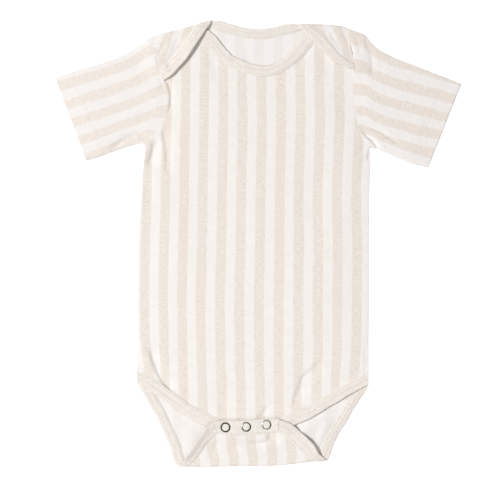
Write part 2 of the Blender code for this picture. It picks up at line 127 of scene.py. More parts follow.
BACK_NECK = table(
    "layer free_x free_y seam_x seam_y",
    [
        (1, -94.6, 163.5, -98.0, 174.5),
        (1, -86.0, 169.0, -94.0, 177.5),
        (1, -80.0, 175.5, -88.5, 184.0),
        (1, -70.0, 187.5, -79.0, 195.0),
        (1, -61.0, 201.0, -70.5, 206.5),
        (1, -52.0, 214.4, -63.0, 216.5),
        (1, -48.0, 220.0, -59.0, 219.8),
        (0, -46.3, 222.9, -54.0, 218.8),
        (0, -36.0, 222.0, -44.0, 215.5),
        (0, -28.0, 219.8, -33.5, 211.3),
        (0, -20.0, 217.8, -23.0, 208.3),
        (0, -8.0, 215.3, -9.0, 205.8),
        (0, 5.0, 215.0, 5.0, 205.5),
        (0, 16.0, 216.5, 17.5, 207.2),
        (0, 27.0, 218.8, 30.0, 209.8),
        (0, 35.0, 219.2, 40.5, 213.3),
        (0, 40.0, 219.3, 50.0, 218.0),
        (1, 43.5, 216.0, 54.0, 217.6),
        (1, 53.0, 206.0, 62.0, 212.8),
        (1, 65.0, 193.5, 73.0, 200.5),
        (1, 77.0, 181.5, 83.0, 188.8),
        (1, 85.0, 178.5, 88.5, 184.7),
        (1, 96.1, 175.3, 95.3, 181.3),
    ],
)
FRONT_LEG_LEFT = table(
    "free_x free_y seam_x seam_y",
    [
        (-121.0, -139.5, -121.0, -127.5),
        (-108.5, -147.0, -107.0, -132.5),
        (-98.5, -153.5, -97.0, -139.5),
        (-82.6, -165.5, -78.5, -153.0),
        (-70.0, -174.0, -67.0, -161.0),
        (-52.3, -183.0, -49.0, -169.5),
        (-41.5, -188.5, -37.5, -176.0),
    ],
)
FRONT_LEG_RIGHT = table(
    "free_x free_y seam_x seam_y",
    [
        (110.2, -141.5, 110.5, -129.5),
        (100.5, -146.4, 98.5, -134.0),
        (87.7, -153.5, 84.5, -141.5),
        (71.7, -163.0, 68.6, -151.0),
        (55.8, -172.7, 52.6, -160.0),
        (37.5, -181.4, 35.0, -168.0),
        (27.0, -187.0, 24.5, -173.5),
        (18.0, -191.5, 15.0, -177.5),
    ],
)
BACK_LEG_LEFT = table(
    "layer free_x free_y seam_x seam_y",
    [
        (0, -121.2, -139.5, -121.0, -127.5),
        (0, -116.0, -148.5, -108.5, -140.0),
        (0, -108.0, -163.0, -99.0, -157.5),
        (0, -100.0, -177.5, -91.0, -171.5),
        (0, -92.0, -195.0, -82.5, -190.0),
        (0, -87.0, -208.0, -77.0, -204.0),
        (0, -83.5, -219.0, -73.0, -217.0),
        (1, -77.5, -220.0, -68.0, -221.0),
        (1, -70.0, -211.0, -61.5, -213.8),
        (1, -65.0, -204.0, -56.0, -206.8),
        (1, -60.0, -196.5, -51.5, -200.0),
        (1, -55.0, -189.0, -46.0, -194.0),
        (1, -51.0, -183.5, -43.2, -191.6),
        (1, -44.8, -177.6, -40.2, -188.6),
    ],
)
BACK_LEG_RIGHT = table(
    "layer free_x free_y seam_x seam_y",
    [
        (0, 110.5, -141.5, 110.5, -129.5),
        (0, 107.0, -148.5, 99.5, -141.5),
        (0, 100.0, -159.5, 91.0, -154.5),
        (0, 92.0, -173.0, 82.5, -168.5),
        (0, 84.0, -186.0, 74.5, -182.0),
        (0, 78.0, -197.0, 68.0, -194.0),
        (0, 73.0, -209.0, 62.5, -207.5),
        (0, 70.5, -215.0, 59.5, -215.0),
        (1, 67.5, -214.6, 55.0, -216.5),
        (1, 60.7, -208.4, 50.5, -214.8),
        (1, 55.8, -199.8, 46.0, -210.5),
        (1, 46.2, -190.2, 38.0, -202.0),
        (1, 37.5, -182.4, 30.0, -195.0),
        (1, 30.0, -178.0, 24.5, -190.0),
        (1, 20.5, -174.6, 19.3, -187.5),
    ],
)
FRONT_BAND = table(
    "free_x free_y seam_x seam_y",
    [(-40.8, -188.8, -36.8, -176.4), (-26.0, -190.6, -26.0, -178.2), (-11.0, -191.2, -11.0, -179.0),
     (4.0, -191.2, 4.0, -178.8), (17.2, -191.2, 14.2, -178.0)],
)
BACK_BAND = table(
    "layer free_x free_y seam_x seam_y",
    [(1, -45.1, -177.15, -40.5, -189.15), (1, -30.0, -176.2, -28.0, -190.4), (1, -18.0, -175.8, -17.5, -190.8),
     (1, -4.0, -175.2, -4.0, -190.6), (1, 10.0, -174.4, 10.0, -189.4), (1, 20.95, -174.2, 19.8, -187.75)],
)
SNAPS = table("x y", [(-32.5, -182.8), (-11.9, -182.3), (8.3, -180.2)])
SLEEVE_LEFT_TOP = table(
    "x y",
    [(-104.4, 207.6), (-108.3, 205.4), (-115, 201.2), (-122, 196.2), (-134, 189.0), (-152, 182), (-176, 174.7), (-203, 166)],
)
SLEEVE_LEFT_BOTTOM = table(
    "x y", [(-113.6, 95.5), (-119.5, 100.6), (-128, 99), (-146, 93), (-158, 88.3), (-172, 84)]
)
SLEEVE_RIGHT_TOP = table(
    "x y",
    [(91.0, 215.1), (97, 213.1), (102, 211.3), (108, 208.6), (113, 202), (119, 196), (136, 186.5), (154, 179.3), (178, 170),
     (203, 160)],
)
SLEEVE_RIGHT_BOTTOM = table("x y", [(112.0, 96.4), (118, 96), (130, 91), (142, 86), (154, 81), (170, 77)])

# ---- tables of the stripes: where a beige stripe's middle lies, and from one to the next ----------------------------
FRONT_STRIPES = table(
    "y k1 k3 k5 k7 k9 k11",
    [
        (190, -90.8, -53.6, -16.3, 22.9, 61.0, 100.8),
        (150, -90.8, -53.6, -16.0, 22.9, 61.2, 101.2),
        (129, -91.3, -54.0, -15.3, 23.3, 62.2, 101.8),
        (94, -92.0, -54.7, -15.7, 22.7, 61.1, 99.9),
        (44, -92.7, -55.4, -16.9, 21.7, 59.6, 98.2),
        (-6, -94.0, -56.2, -17.5, 21.4, 60.3, 99.4),
        (-56, -94.7, -57.3, -19.0, 20.8, 59.7, 98.9),
        (-106, -93.9, -56.9, -18.3, 20.5, 60.0, 97.8),
        (-121, -93.6, -56.4, -18.3, 20.6, 59.6, 96.7),
        (-136, -93.7, -55.9, -17.3, 20.9, 59.4, 95.3),
        (-151, -93.8, -55.5, -16.9, 20.7, 59.2, 95.2),
        (-167, -93.8, -55.2, -17.2, 21.3, 59.2, 95.2),
    ],
)
BACK_STRIPES = table(
    "q middle pitch",
    [(-270, -126, 19.8), (-243, -125.1, 19.7), (-230, -120.5, 19.3), (-222, -119.5, 19.1), (0, -117.0, 19.15),
     (200, -114.2, 19.2), (260, -114.2, 19.2)],
)
# shares of the way from underarm to shoulder at which each beige stripe's middle lies
SLEEVE_STRIPES = table(
    "left_arm left_cuff right_arm right_cuff",
    [(0.085, 0.018, 0.155, 0.162), (0.335, 0.240, 0.304, 0.385), (0.545, 0.450, 0.497, 0.592),
     (0.715, 0.668, 0.675, 0.818), (0.900, 0.896, 0.935, 1.025)],
)

# ---- folds -------------------------------------------------------------------------------------------------------
# Each row: height of the fold's middle (below 0 is a trough), its width to the left and to the right, the share of its
# length over which each end fades, then its line.
FRONT_FOLDS = [
    (0.8, 4.0, 7.0, 0.4, 0.3, [(-117, -88), (-114, -106), (-110, -118), (-105, -130)]),
    (-1.65, 1.1, 7.0, 0.25, 0.12, [(-108.6, -101), (-106.8, -111), (-103.4, -121), (-99.0, -132), (-95.6, -138), (-87, -145.6), (-85.5, -146.8)]),
    (-1.1, 1.8, 9.0, 0.14, 0.25, [(64, -117.5), (54.2, -125.5), (45.4, -133), (40.6, -146), (37.4, -153), (33.4, -168)]),
    (-1.0, 1.6, 3.6, 0.35, 0.1, [(13, -158), (7, -166), (1, -175)]),
    (-0.4, 2.5, 4.0, 0.3, 0.2, [(-44, -148), (-38, -160), (-33, -170)]),
    (-0.45, 5.0, 7.0, 0.3, 0.3, [(20, -130), (14, -146), (11, -160)]),
    (-0.8, 3.0, 4.0, 0.05, 0.35, [(-91.4, 164), (-88.2, 156.3), (-86.6, 148), (-86.8, 138), (-88.6, 132), (-90.6, 128)]),
    (-1.8, 2.8, 8.0, 0.2, 0.25, [(-102.2, 108), (-103.4, 98), (-106.2, 88), (-111.5, 76)]),
    (-1.5, 1.6, 6.0, 0.15, 0.5, [(-96.6, 117), (-93.8, 106), (-91.6, 90), (-90.8, 64)]),
    (-0.5, 4.0, 5.0, 0.3, 0.5, [(-114, 70), (-110, 54), (-108, 36)]),
    (-2.2, 1.5, 0.9, 0.25, 0.3, [(113.4, 97), (111.8, 91), (110.8, 86.5), (112.8, 81.5)]),
    (-0.5, 3.0, 5.0, 0.3, 0.5, [(102, 110), (106, 98), (106, 84), (104, 66)]),
    (-0.35, 1.2, 1.2, 0.3, 0.2, [(107.6, -98), (107.8, -120), (106.6, -138)]),
    (-0.5, 1.1, 1.8, 0.15, 0.15, [(39.5, 180.6), (46, 187.3), (51.5, 193.5), (56.0, 200.5)]),
    (-0.35, 9.0, 12.0, 0.5, 0.5, [(-60, 60), (-64, 10), (-58, -40)]),
    (-0.35, 12.0, 9.0, 0.5, 0.5, [(52, 90), (60, 30), (56, -40)]),
    (0.35, 14.0, 12.0, 0.5, 0.5, [(4, 120), (-6, 60), (2, -10), (10, -70)]),
    (-0.5, 5.0, 4.0, 0.2, 0.4, [(-46, 190), (-40, 170), (-36, 150)]),
    (-0.4, 5.0, 5.0, 0.2, 0.5, [(62, 196), (70, 176), (72, 150)]),
]
LAP_LEFT_FOLDS = [
    (-0.9, 8.0, 8.0, 0.2, 0.2, [(-95, 176), (-88, 184), (-80, 194), (-73, 207)]),
    (-0.8, 1.6, 3.0, 0.15, 0.4, [(-101, 188), (-98, 193), (-95, 200), (-93, 208)]),
    (-1.0, 2.2, 5.0, 0.15, 0.4, [(-94.6, 180), (-87.8, 184.5), (-81.6, 192.5), (-77.4, 203)]),
    (-0.5, 1.8, 4.0, 0.2, 0.3, [(-94, 178), (-86, 181), (-78, 189), (-71, 200)]),
    (-0.6, 2.0, 3.4, 0.3, 0.4, [(-90, 186), (-86, 192), (-82, 201), (-79, 210)]),
    (-0.5, 2.4, 3.0, 0.3, 0.4, [(-74, 193), (-69, 201), (-64, 210)]),
    (0.5, 4.0, 4.0, 0.3, 0.3, [(-76, 188), (-68, 199), (-61, 210)]),
]
LAP_RIGHT_FOLDS = [
    (-0.6, 1.6, 3.4, 0.2, 0.3, [(70, 211), (77, 204), (81, 196), (83, 188)]),
    (-0.5, 2.0, 3.0, 0.2, 0.3, [(66, 214), (73, 212), (80, 209)]),
    (-0.4, 2.0, 3.6, 0.2, 0.3, [(84, 211), (89, 204), (92, 196)]),
]
TAIL_FOLDS = [
    (-1.6, 2.0, 3.4, 0.35, 0.35, [(-30, -194), (-18, -198), (-8, -200.3), (2, -199.3), (12, -195), (20, -190)]),
    (-0.28, 0.7, 0.7, 0.1, 0.1, [(-36, -192.6), (-12, -193.0), (8, -192.4), (16, -190.6)]),
    (0.4, 4.0, 4.0, 0.3, 0.3, [(-26, -204), (-12, -208), (4, -208), (16, -203)]),
    (-1.2, 2.6, 4.0, 0.3, 0.3, [(7, -190), (12, -193.4), (17, -196), (23, -200)]),
    (-0.5, 3.0, 5.0, 0.3, 0.3, [(-38, -194), (-44, -204), (-50, -213)]),
]
INSIDE_FOLDS = [
    (2.6, 4.5, 13.0, 0.2, 0.5, [(31, -200), (41, -190), (50, -184), (60, -179), (72, -167)]),
    (1.0, 4.0, 6.5, 0.2, 0.4, [(57, -205), (60.4, -195.6), (66.3, -185.6), (74, -172)]),
    (0.5, 6.0, 6.0, 0.3, 0.3, [(-86, -170), (-74, -185), (-68, -200)]),
    (0.5, 7.0, 7.0, 0.3, 0.3, [(-30, 198), (-24, 188), (-10, 182)]),
]
HIDDEN_FOLDS = [
    (0.8, 3.0, 4.0, 0.3, 0.4, [(-100, -84), (-92, -112), (-80, -134), (-66, -148)]),
    (0.7, 4.0, 3.0, 0.4, 0.3, [(98, -92), (84, -118), (66, -138), (40, -150)]),
    (0.6, 5.0, 6.0, 0.4, 0.4, [(-92, 92), (-70, 60), (-62, 20), (-66, -30)]),
    (0.6, 6.0, 5.0, 0.4, 0.4, [(94, 96), (76, 70), (66, 20), (70, -40)]),
    (0.5, 5.0, 4.0, 0.3, 0.4, [(-84, 150), (-60, 168), (-30, 176)]),
    (0.5, 4.0, 5.0, 0.3, 0.4, [(84, 152), (58, 172), (28, 178)]),
    (0.55, 7.0, 7.0, 0.4, 0.4, [(-10, 120), (4, 60), (-4, 0), (6, -80)]),
]
SLEEVE_LEFT_FOLDS = [
    (-1.9, 1.7, 3.0, 0.05, 0.35, [(-91.4, 164), (-88.2, 156.3), (-86.6, 148), (-86.8, 138), (-88.6, 132), (-90.6, 128)]),
    (-1.7, 2.6, 4.0, 0.25, 0.35, [(-149, 94.5), (-140, 100.5), (-132, 105.5), (-122, 109), (-111, 110)]),
    (-2.2, 1.0, 1.2, 0.3, 0.2, [(-121, 105.5), (-117, 107.5), (-112, 107), (-107, 104)]),
    (-0.5, 3.0, 4.0, 0.3, 0.4, [(-101, 128), (-112, 132), (-124, 130)]),
    (-0.7, 1.3, 1.6, 0.2, 0.3, [(-102, 190), (-100, 184), (-98.6, 176)]),
    (-0.5, 1.2, 1.6, 0.2, 0.4, [(-96.5, 165), (-96, 158), (-95, 152)]),
    (-0.4, 5.0, 6.0, 0.3, 0.5, [(-106, 190), (-122, 180), (-140, 172)]),
    (-0.4, 6.0, 6.0, 0.3, 0.5, [(-104, 150), (-126, 146), (-150, 138)]),
]
SLEEVE_RIGHT_FOLDS = [
    (-1.3, 1.2, 2.6, 0.2, 0.35, [(98, 117.5), (106, 116.5), (114, 115), (124, 111), (133, 105), (148, 96)]),
    (-2.4, 0.9, 2.4, 0.35, 0.05, [(102, 113), (108, 108.5), (113.5, 104), (118, 98), (119, 94)]),
    (-0.55, 1.6, 3.4, 0.15, 0.4, [(112, 196), (113, 188), (113.5, 176), (113.5, 162)]),
    (-0.5, 1.8, 3.0, 0.2, 0.4, [(107.5, 208), (109, 200), (109.5, 190)]),
    (-0.4, 2.4, 2.4, 0.2, 0.4, [(98, 208), (101, 196), (102, 182)]),
    (-0.5, 3.0, 3.0, 0.3, 0.5, [(101, 178), (108, 176), (118, 172), (130, 168)]),
    (-0.35, 6.0, 6.0, 0.3, 0.5, [(102, 150), (124, 146), (150, 136)]),
]
BINDING_LEG_LEFT_FOLDS = [
    (-0.6, 2.0, 2.4, 0.3, 0.4, [(-110, -137), (-102, -143), (-95, -148), (-86, -154), (-76, -161)]),
    (0.3, 3.0, 3.0, 0.3, 0.3, [(-96, -141), (-86, -149), (-76, -156)]),
]


# ---- curves ------------------------------------------------------------------------------------------------------
def smooth(x, xs, ys):
    """Interpolates a table's column without overshoot (a cubic with limited slopes); straight on past the ends."""
    xs, ys = np.asarray(xs, float), np.asarray(ys, float)
    if xs[0] > xs[-1]:
        xs, ys = xs[::-1], ys[::-1]
    x = np.asarray(x, float)
    h = np.diff(xs)
    d = np.diff(ys) / h
    m = np.zeros_like(xs)
    same = d[:-1] * d[1:] > 0
    w = h[:-1] + h[1:]
    top = 3 * w
    low = (h[1:] + w) / np.where(d[:-1] == 0, 1, d[:-1]) + (h[:-1] + w) / np.where(d[1:] == 0, 1, d[1:])
    m[1:-1] = np.where(same, top / np.where(low == 0, 1, low), 0.0)
    m[0], m[-1] = d[0], d[-1]
    i = np.clip(np.searchsorted(xs, x) - 1, 0, len(h) - 1)
    t = (x - xs[i]) / h[i]
    tc = np.clip(t, 0, 1)
    inside = (
        ys[i] * (1 + 2 * tc) * (1 - tc) ** 2
        + h[i] * m[i] * tc * (1 - tc) ** 2
        + ys[i + 1] * tc * tc * (3 - 2 * tc)
        + h[i] * m[i + 1] * tc * tc * (tc - 1)
    )
    slope = np.where(t < 0, m[i], m[i + 1])
    return inside + (t - tc) * h[i] * slope


def lengths(points):
    s = np.concatenate([[0.0], np.cumsum(np.linalg.norm(np.diff(points, axis=0), axis=1))])
    return s / s[-1]


def along(points, t):
    s = lengths(points)
    return np.stack([smooth(t, s, points[:, k]) for k in range(points.shape[1])], axis=-1)


def step(a, b, x):
    t = np.clip((np.asarray(x, float) - a) / (b - a), 0, 1)
    return t * t * (3 - 2 * t)


def spread(count, *bumps):
    """Shares from 0 to 1, closer together near each bump's place: (place, width, weight)."""
    t = np.linspace(0, 1, 2001)
    w = 1 + sum(weight * np.exp(-(((t - place) / width) ** 2)) for place, width, weight in bumps)
    s = np.concatenate([[0], np.cumsum((w[1:] + w[:-1]) / 2)])
    return np.interp(np.linspace(0, 1, count), s / s[-1], t)


def near_line(x, y, points):
    """For each point: its distance from a line (below 0 on its left-hand side as seen), and the share along it."""
    line = along(np.asarray(points, float), np.linspace(0, 1, 25))
    shape = np.shape(x)
    p = np.stack([np.ravel(x), np.ravel(y)], axis=1)
    best = np.full(len(p), 1e9)
    side, share = np.ones(len(p)), np.zeros(len(p))
    t = lengths(line)
    for a, b, ta, tb in zip(line[:-1], line[1:], t[:-1], t[1:]):
        ab = b - a
        f = np.clip(((p - a) @ ab) / (ab @ ab), 0, 1)
        away = p - (a + f[:, None] * ab)
        d = np.hypot(away[:, 0], away[:, 1])
        normal = np.array([-ab[1], ab[0]])
        if normal[0] + 0.15 * normal[1] < 0:
            normal = -normal
        closer = d < best
        best = np.where(closer, d, best)
        side = np.where(closer, np.sign(away @ normal + 1e-9), side)
        share = np.where(closer, ta + f * (tb - ta), share)
    return (best * side).reshape(shape), share.reshape(shape)


def fold_height(x, y, folds):
    z = np.zeros(np.shape(x))
    for height, wide_left, wide_right, fade_a, fade_b, points in folds:
        d, t = near_line(x, y, points)
        fade = step(0, fade_a, t) * (1 - step(1 - fade_b, 1, t))
        z = z + height * fade * np.exp(-((d / np.where(d < 0, wide_left, wide_right)) ** 2))
    return z


def sway(x, y, amount, turn=0.0):
    """The slow unevenness of cloth that was smoothed by hand."""
    return amount * (
        0.40 * np.sin(x / 17 + y / 43 + turn)
        + 0.30 * np.sin(x / -11 + y / 29 + 1.7 + 2 * turn)
        + 0.20 * np.sin(x / 8.3 + y / 61 + 4.1 + turn)
        + 0.15 * np.sin(x / 37 - y / 9.7 + 2.6 - turn)
    )


# ---- the garment's levels ----------------------------------------------------------------------------------------
def body_left(y):
    return smooth(y, BODY["y"], BODY["left"])


def body_right(y):
    return smooth(y, BODY["y"], BODY["right"])


def shoulder_fold(x):
    return smooth(x, SHOULDER["x"], SHOULDER["y"])


def crotch_fold(x):
    return smooth(x, CROTCH["x"], CROTCH["y"])


def inward(x, y):
    """Distance from the nearer long edge of the body."""
    return np.minimum(x - body_left(y), body_right(y) - x)


def side_rim(x, y):
    """1 on the side seams below the underarms, 0 further in and at the armholes: a quarter round."""
    d = np.clip(inward(x, y) / SIDE_RIM, 0, 1)
    return (1 - np.sqrt(1 - (1 - d) ** 2)) * (1 - step(80, 96, y)) * step(-130, -118, y)


def lap_edge(x, y):
    return near_line(x, y, [(-47, 221), (-54, 211), (-60, 202), (-66, 192), (-74, 182), (-83, 173), (-93, 164)])


def front_z(x, y, folds=1.0):
    crown = step(3, 30, inward(x, y)) * step(-160, -100, y) * (1 - step(135, 175, y))
    z = FRONT_Z - 0.25 + (FRONT_CROWN + 0.1) * crown - np.where(x > 0, 0.3, 0.42) * side_rim(x, y)
    # the armhole seams pull the cloth down a little
    arm = (1 - step(0, 2.4, inward(x, y))) * step(92, 100, y)
    z = z - 0.1 * arm - SCOOP_SINK * step(150, 182, y) * (1 - step(42, 56, np.abs(x)))
    d, t = lap_edge(x, y)
    z = z - 0.45 * np.exp(-((d / 11) ** 2)) * step(0.0, 0.2, t) * (1 - step(0.85, 1.0, t)) * (x < 0)
    # below the shoulder laps the front lies lower
    z = z - 0.25 * step(165, 200, y) * step(40, 60, np.abs(x))
    return z + folds * (fold_height(x, y, FRONT_FOLDS) + sway(x, y, 0.22))


def opened(layer, x, y):
    fold = np.where(y > 0, shoulder_fold(x), crotch_fold(x))
    return np.where(layer > 0.5, 2 * fold - y, y)


def lap_height(x, y):
    """How the shoulder laps' height differs from LAP_Z: lower where they are sewn into the armholes, and the left
    one's free edge stands up in its middle."""
    d, t = lap_edge(x, y)
    lift = 1.0 * np.sin(math.pi * np.clip(t, 0, 1) ** 0.85) ** 1.4 * np.exp(-((d / 13) ** 2)) * (x < 0)
    sewn = 1 - step(0, np.where(x > 0, 14, 7), inward(x, y))
    drop = np.where(x > 0, 0.9, 0.45) * sewn + np.where(x > 0, 0.35, 0.0)
    return lift, drop


def back_point(x, q, rise=0.0):
    """Where the back's cloth lies: flat, round the shoulder fold on to the laps, round the crotch fold on to the
    tail."""
    low = BACK_Z + 0.65 * side_rim(x, q) + rise
    up, down = shoulder_fold(x), crotch_fold(x)
    inner = fold_height(x, q, INSIDE_FOLDS)
    under = fold_height(x, q, HIDDEN_FOLDS) * step(4, 12, inward(x, q)) * (1 - step(184, 196, q)) * step(-150, -140, q)
    main = np.maximum(inner, under) * (q < up - 3) * (q > down + 3)
    # shoulder
    half = (LAP_Z + rise - low) / 2
    a = np.clip((q - (up - half)) / (2 * half), 0, 1) * math.pi
    y = np.where(q < up - half, q, np.where(q > up + half, 2 * up - q, up - half + half * np.sin(a)))
    past = step(0, 9, q - up - half)
    tight = 1.4 * np.exp(-(((x + 48) / 8) ** 2)) * (1 - step(3, 12, q - up - half))
    lift, drop = lap_height(x, y)
    high = LAP_Z + rise + past * lift - drop - tight
    z = low + (high - low) * (1 - np.cos(a)) / 2
    lap = fold_height(x, y, LAP_LEFT_FOLDS) + fold_height(x, y, LAP_RIGHT_FOLDS) + sway(x, y, 0.2, 1.0)
    z = z + lap * past + main
    # crotch
    d = np.maximum(down - q, 0)
    high_c = smooth(d, TAIL["d"], TAIL["z"]) + rise
    half_c = (TAIL["z"][0] - BACK_Z) / 2
    b = np.clip(((down + half_c) - q) / (2 * half_c), 0, 1) * math.pi
    y_c = np.where(q > down + half_c, q, np.where(q < down - half_c, 2 * down - q, down + half_c - half_c * np.sin(b)))
    past_c = step(0, 8, down - half_c - q)
    z_c = low + (high_c - low) * (1 - np.cos(b)) / 2
    z_c = z_c + (fold_height(x, y_c, TAIL_FOLDS) + sway(x, y_c, 0.15, 2.0)) * past_c + main
    lower = q < 0
    return x, np.where(lower, y_c, y), np.where(lower, z_c, z)


# ---- stripes' coordinates -----------------------------------------------------------------------------------------
def front_stripe(x, y):
    """Whole numbers are the middles of the beige stripes."""
    d, t = near_line(x, y, [(64, -116), (53, -126), (44, -133), (39, -146), (36, -153), (32, -168)])
    x = x + 1.9 * step(-1, 1, d) * np.exp(-np.maximum(d, 0) / 16) * step(0.1, 0.5, t)
    d, t = near_line(x, y, [(-109, -98), (-107, -118), (-103, -126), (-99, -135), (-95, -140), (-86, -148.5)])
    left = 1 - step(-1, 1, d)
    x = x - (4.6 * left * np.exp(-np.maximum(-d, 0) / 16) + 1.4 * (1 - left) * np.exp(-d / 8)) * step(0.05, 0.45, t)
    columns = [(k, smooth(y, FRONT_STRIPES["y"], FRONT_STRIPES[f"k{k}"])) for k in (1, 3, 5, 7, 9, 11)]
    out = np.zeros(np.shape(x))
    for n, ((k, a), (_, b)) in enumerate(zip(columns[:-1], columns[1:])):
        out = np.where((x >= a) | (n == 0), k + 2 * (x - a) / (b - a), out)
    return out


def back_stripe(x, q):
    fold = shoulder_fold(x)
    past = np.maximum(q - fold, 0)
    x = x + np.where(x < 0, 0.40, -0.45) * past
    level = np.minimum(q, fold)
    u = (x - smooth(level, BACK_STRIPES["q"], BACK_STRIPES["middle"])) / smooth(
        level, BACK_STRIPES["q"], BACK_STRIPES["pitch"]
    )
    return u - 0.365 * (1 - step(-60, -30, x)) * step(40, 200, q)


# ---- making meshes -----------------------------------------------------------------------------------------------
def unit(v):
    return v / np.maximum(np.linalg.norm(v, axis=-1, keepdims=True), 1e-12)


def grid_normals(mid, wrap=False):
    if wrap:
        du = np.roll(mid, -1, axis=0) - np.roll(mid, 1, axis=0)
    else:
        du = np.gradient(mid, axis=0)
    dv = np.gradient(mid, axis=1)
    return unit(np.cross(du, dv))


def mesh_object(name, verts, faces, maps, material, low=0.06):
    mesh = bpy.data.meshes.new(name)
    verts = np.asarray(verts) + SHIFT
    verts[:, 2] = np.maximum(verts[:, 2], low)
    verts = verts * MM
    faces = np.asarray(faces, np.int32)
    mesh.vertices.add(len(verts))
    mesh.vertices.foreach_set("co", verts.astype(np.float32).ravel())
    corners = faces.shape[1]
    mesh.loops.add(faces.size)
    mesh.loops.foreach_set("vertex_index", faces.ravel())
    mesh.polygons.add(len(faces))
    mesh.polygons.foreach_set("loop_start", np.arange(0, faces.size, corners, dtype=np.int32))
    mesh.polygons.foreach_set("loop_total", np.full(len(faces), corners, np.int32))
    mesh.update(calc_edges=True)
    for layer, values in maps.items():
        uv = mesh.uv_layers.new(name=layer)
        uv.data.foreach_set("uv", np.asarray(values, np.float32)[faces.ravel()].ravel())
    mesh.validate()
    mesh.materials.append(material)
    mesh.shade_smooth()
    ob = bpy.data.objects.new(name, mesh)
    bpy.context.scene.collection.objects.link(ob)
    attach(ob, "root")
    return ob


def shell(name, mid, up, down, maps, material, wrap=False, flip=False, bulge=0.42, end=None):
    """A closed sheet round a grid of middle points: up above it, down below it, with rounded rims. maps are the
    surface coordinates, and the second number of 'stripe' is 1 on the lower side."""
    mid = np.asarray(mid, float)
    m, n = mid.shape[:2]
    up = np.broadcast_to(np.asarray(up, float), (m, n))
    down = np.broadcast_to(np.asarray(down, float), (m, n))
    if flip:
        mid, up, down = mid[:, ::-1], up[:, ::-1], down[:, ::-1]
        maps = {k: v[:, ::-1] for k, v in maps.items()}
    normal = grid_normals(mid, wrap)
    top = (mid + normal * up[..., None]).reshape(-1, 3)
    bot = (mid - normal * down[..., None]).reshape(-1, 3)
    index = np.arange(m * n).reshape(m, n)
    if wrap:
        index = np.concatenate([index, index[:1]], axis=0)
    a, b, c, d = index[:-1, :-1], index[1:, :-1], index[1:, 1:], index[:-1, 1:]
    faces = [np.stack([a, b, c, d], axis=-1).reshape(-1, 4)]
    faces.append(np.stack([a, d, c, b], axis=-1).reshape(-1, 4) + m * n)
    if wrap:
        loops = [index[:-1, 0], index[:-1, -1][::-1]]
        inner = [index[:-1, 1], index[:-1, -2][::-1]]
    else:
        loops = [np.concatenate([index[:-1, 0], index[-1, :-1], index[:0:-1, -1], index[0, :0:-1]])]
        near = np.clip(np.stack(np.unravel_index(loops[0], (m, n)), axis=1), 1, np.array([m - 2, n - 2]))
        inner = [near[:, 0] * n + near[:, 1]]
    flat = mid.reshape(-1, 3)
    verts, count = [top, bot], 2 * m * n
    sources = [np.arange(m * n), np.arange(m * n)]
    for loop, near in zip(loops, inner):
        out = unit(flat[loop] - flat[near])
        half = ((up + down) / 2).reshape(-1)[loop]
        full = np.full(len(loop), bulge)
        if end is not None:
            full[(loop % n == 0) | (loop % n == n - 1)] = end
        verts.append(flat[loop] + out * (half * 2 * full)[:, None] + normal.reshape(-1, 3)[loop] * ((up - down) / 2).reshape(-1)[loop][:, None])
        sources.append(loop)
        rim = count + np.arange(len(loop))
        count += len(loop)
        nxt, rim_nxt = np.roll(loop, -1), np.roll(rim, -1)
        faces.append(np.stack([loop, rim, rim_nxt, nxt], axis=1))
        faces.append(np.stack([rim, loop + m * n, nxt + m * n, rim_nxt], axis=1))
    source = np.concatenate(sources)
    made = {}
    for k, v in maps.items():
        value = np.asarray(v, float).reshape(-1, 2)[source].copy()
        if k == "stripe":
            value[:, 1] = 0.0
            value[m * n : 2 * m * n, 1] = 1.0
        made[k] = value
    return mesh_object(name, np.concatenate(verts), np.concatenate(faces), made, material)


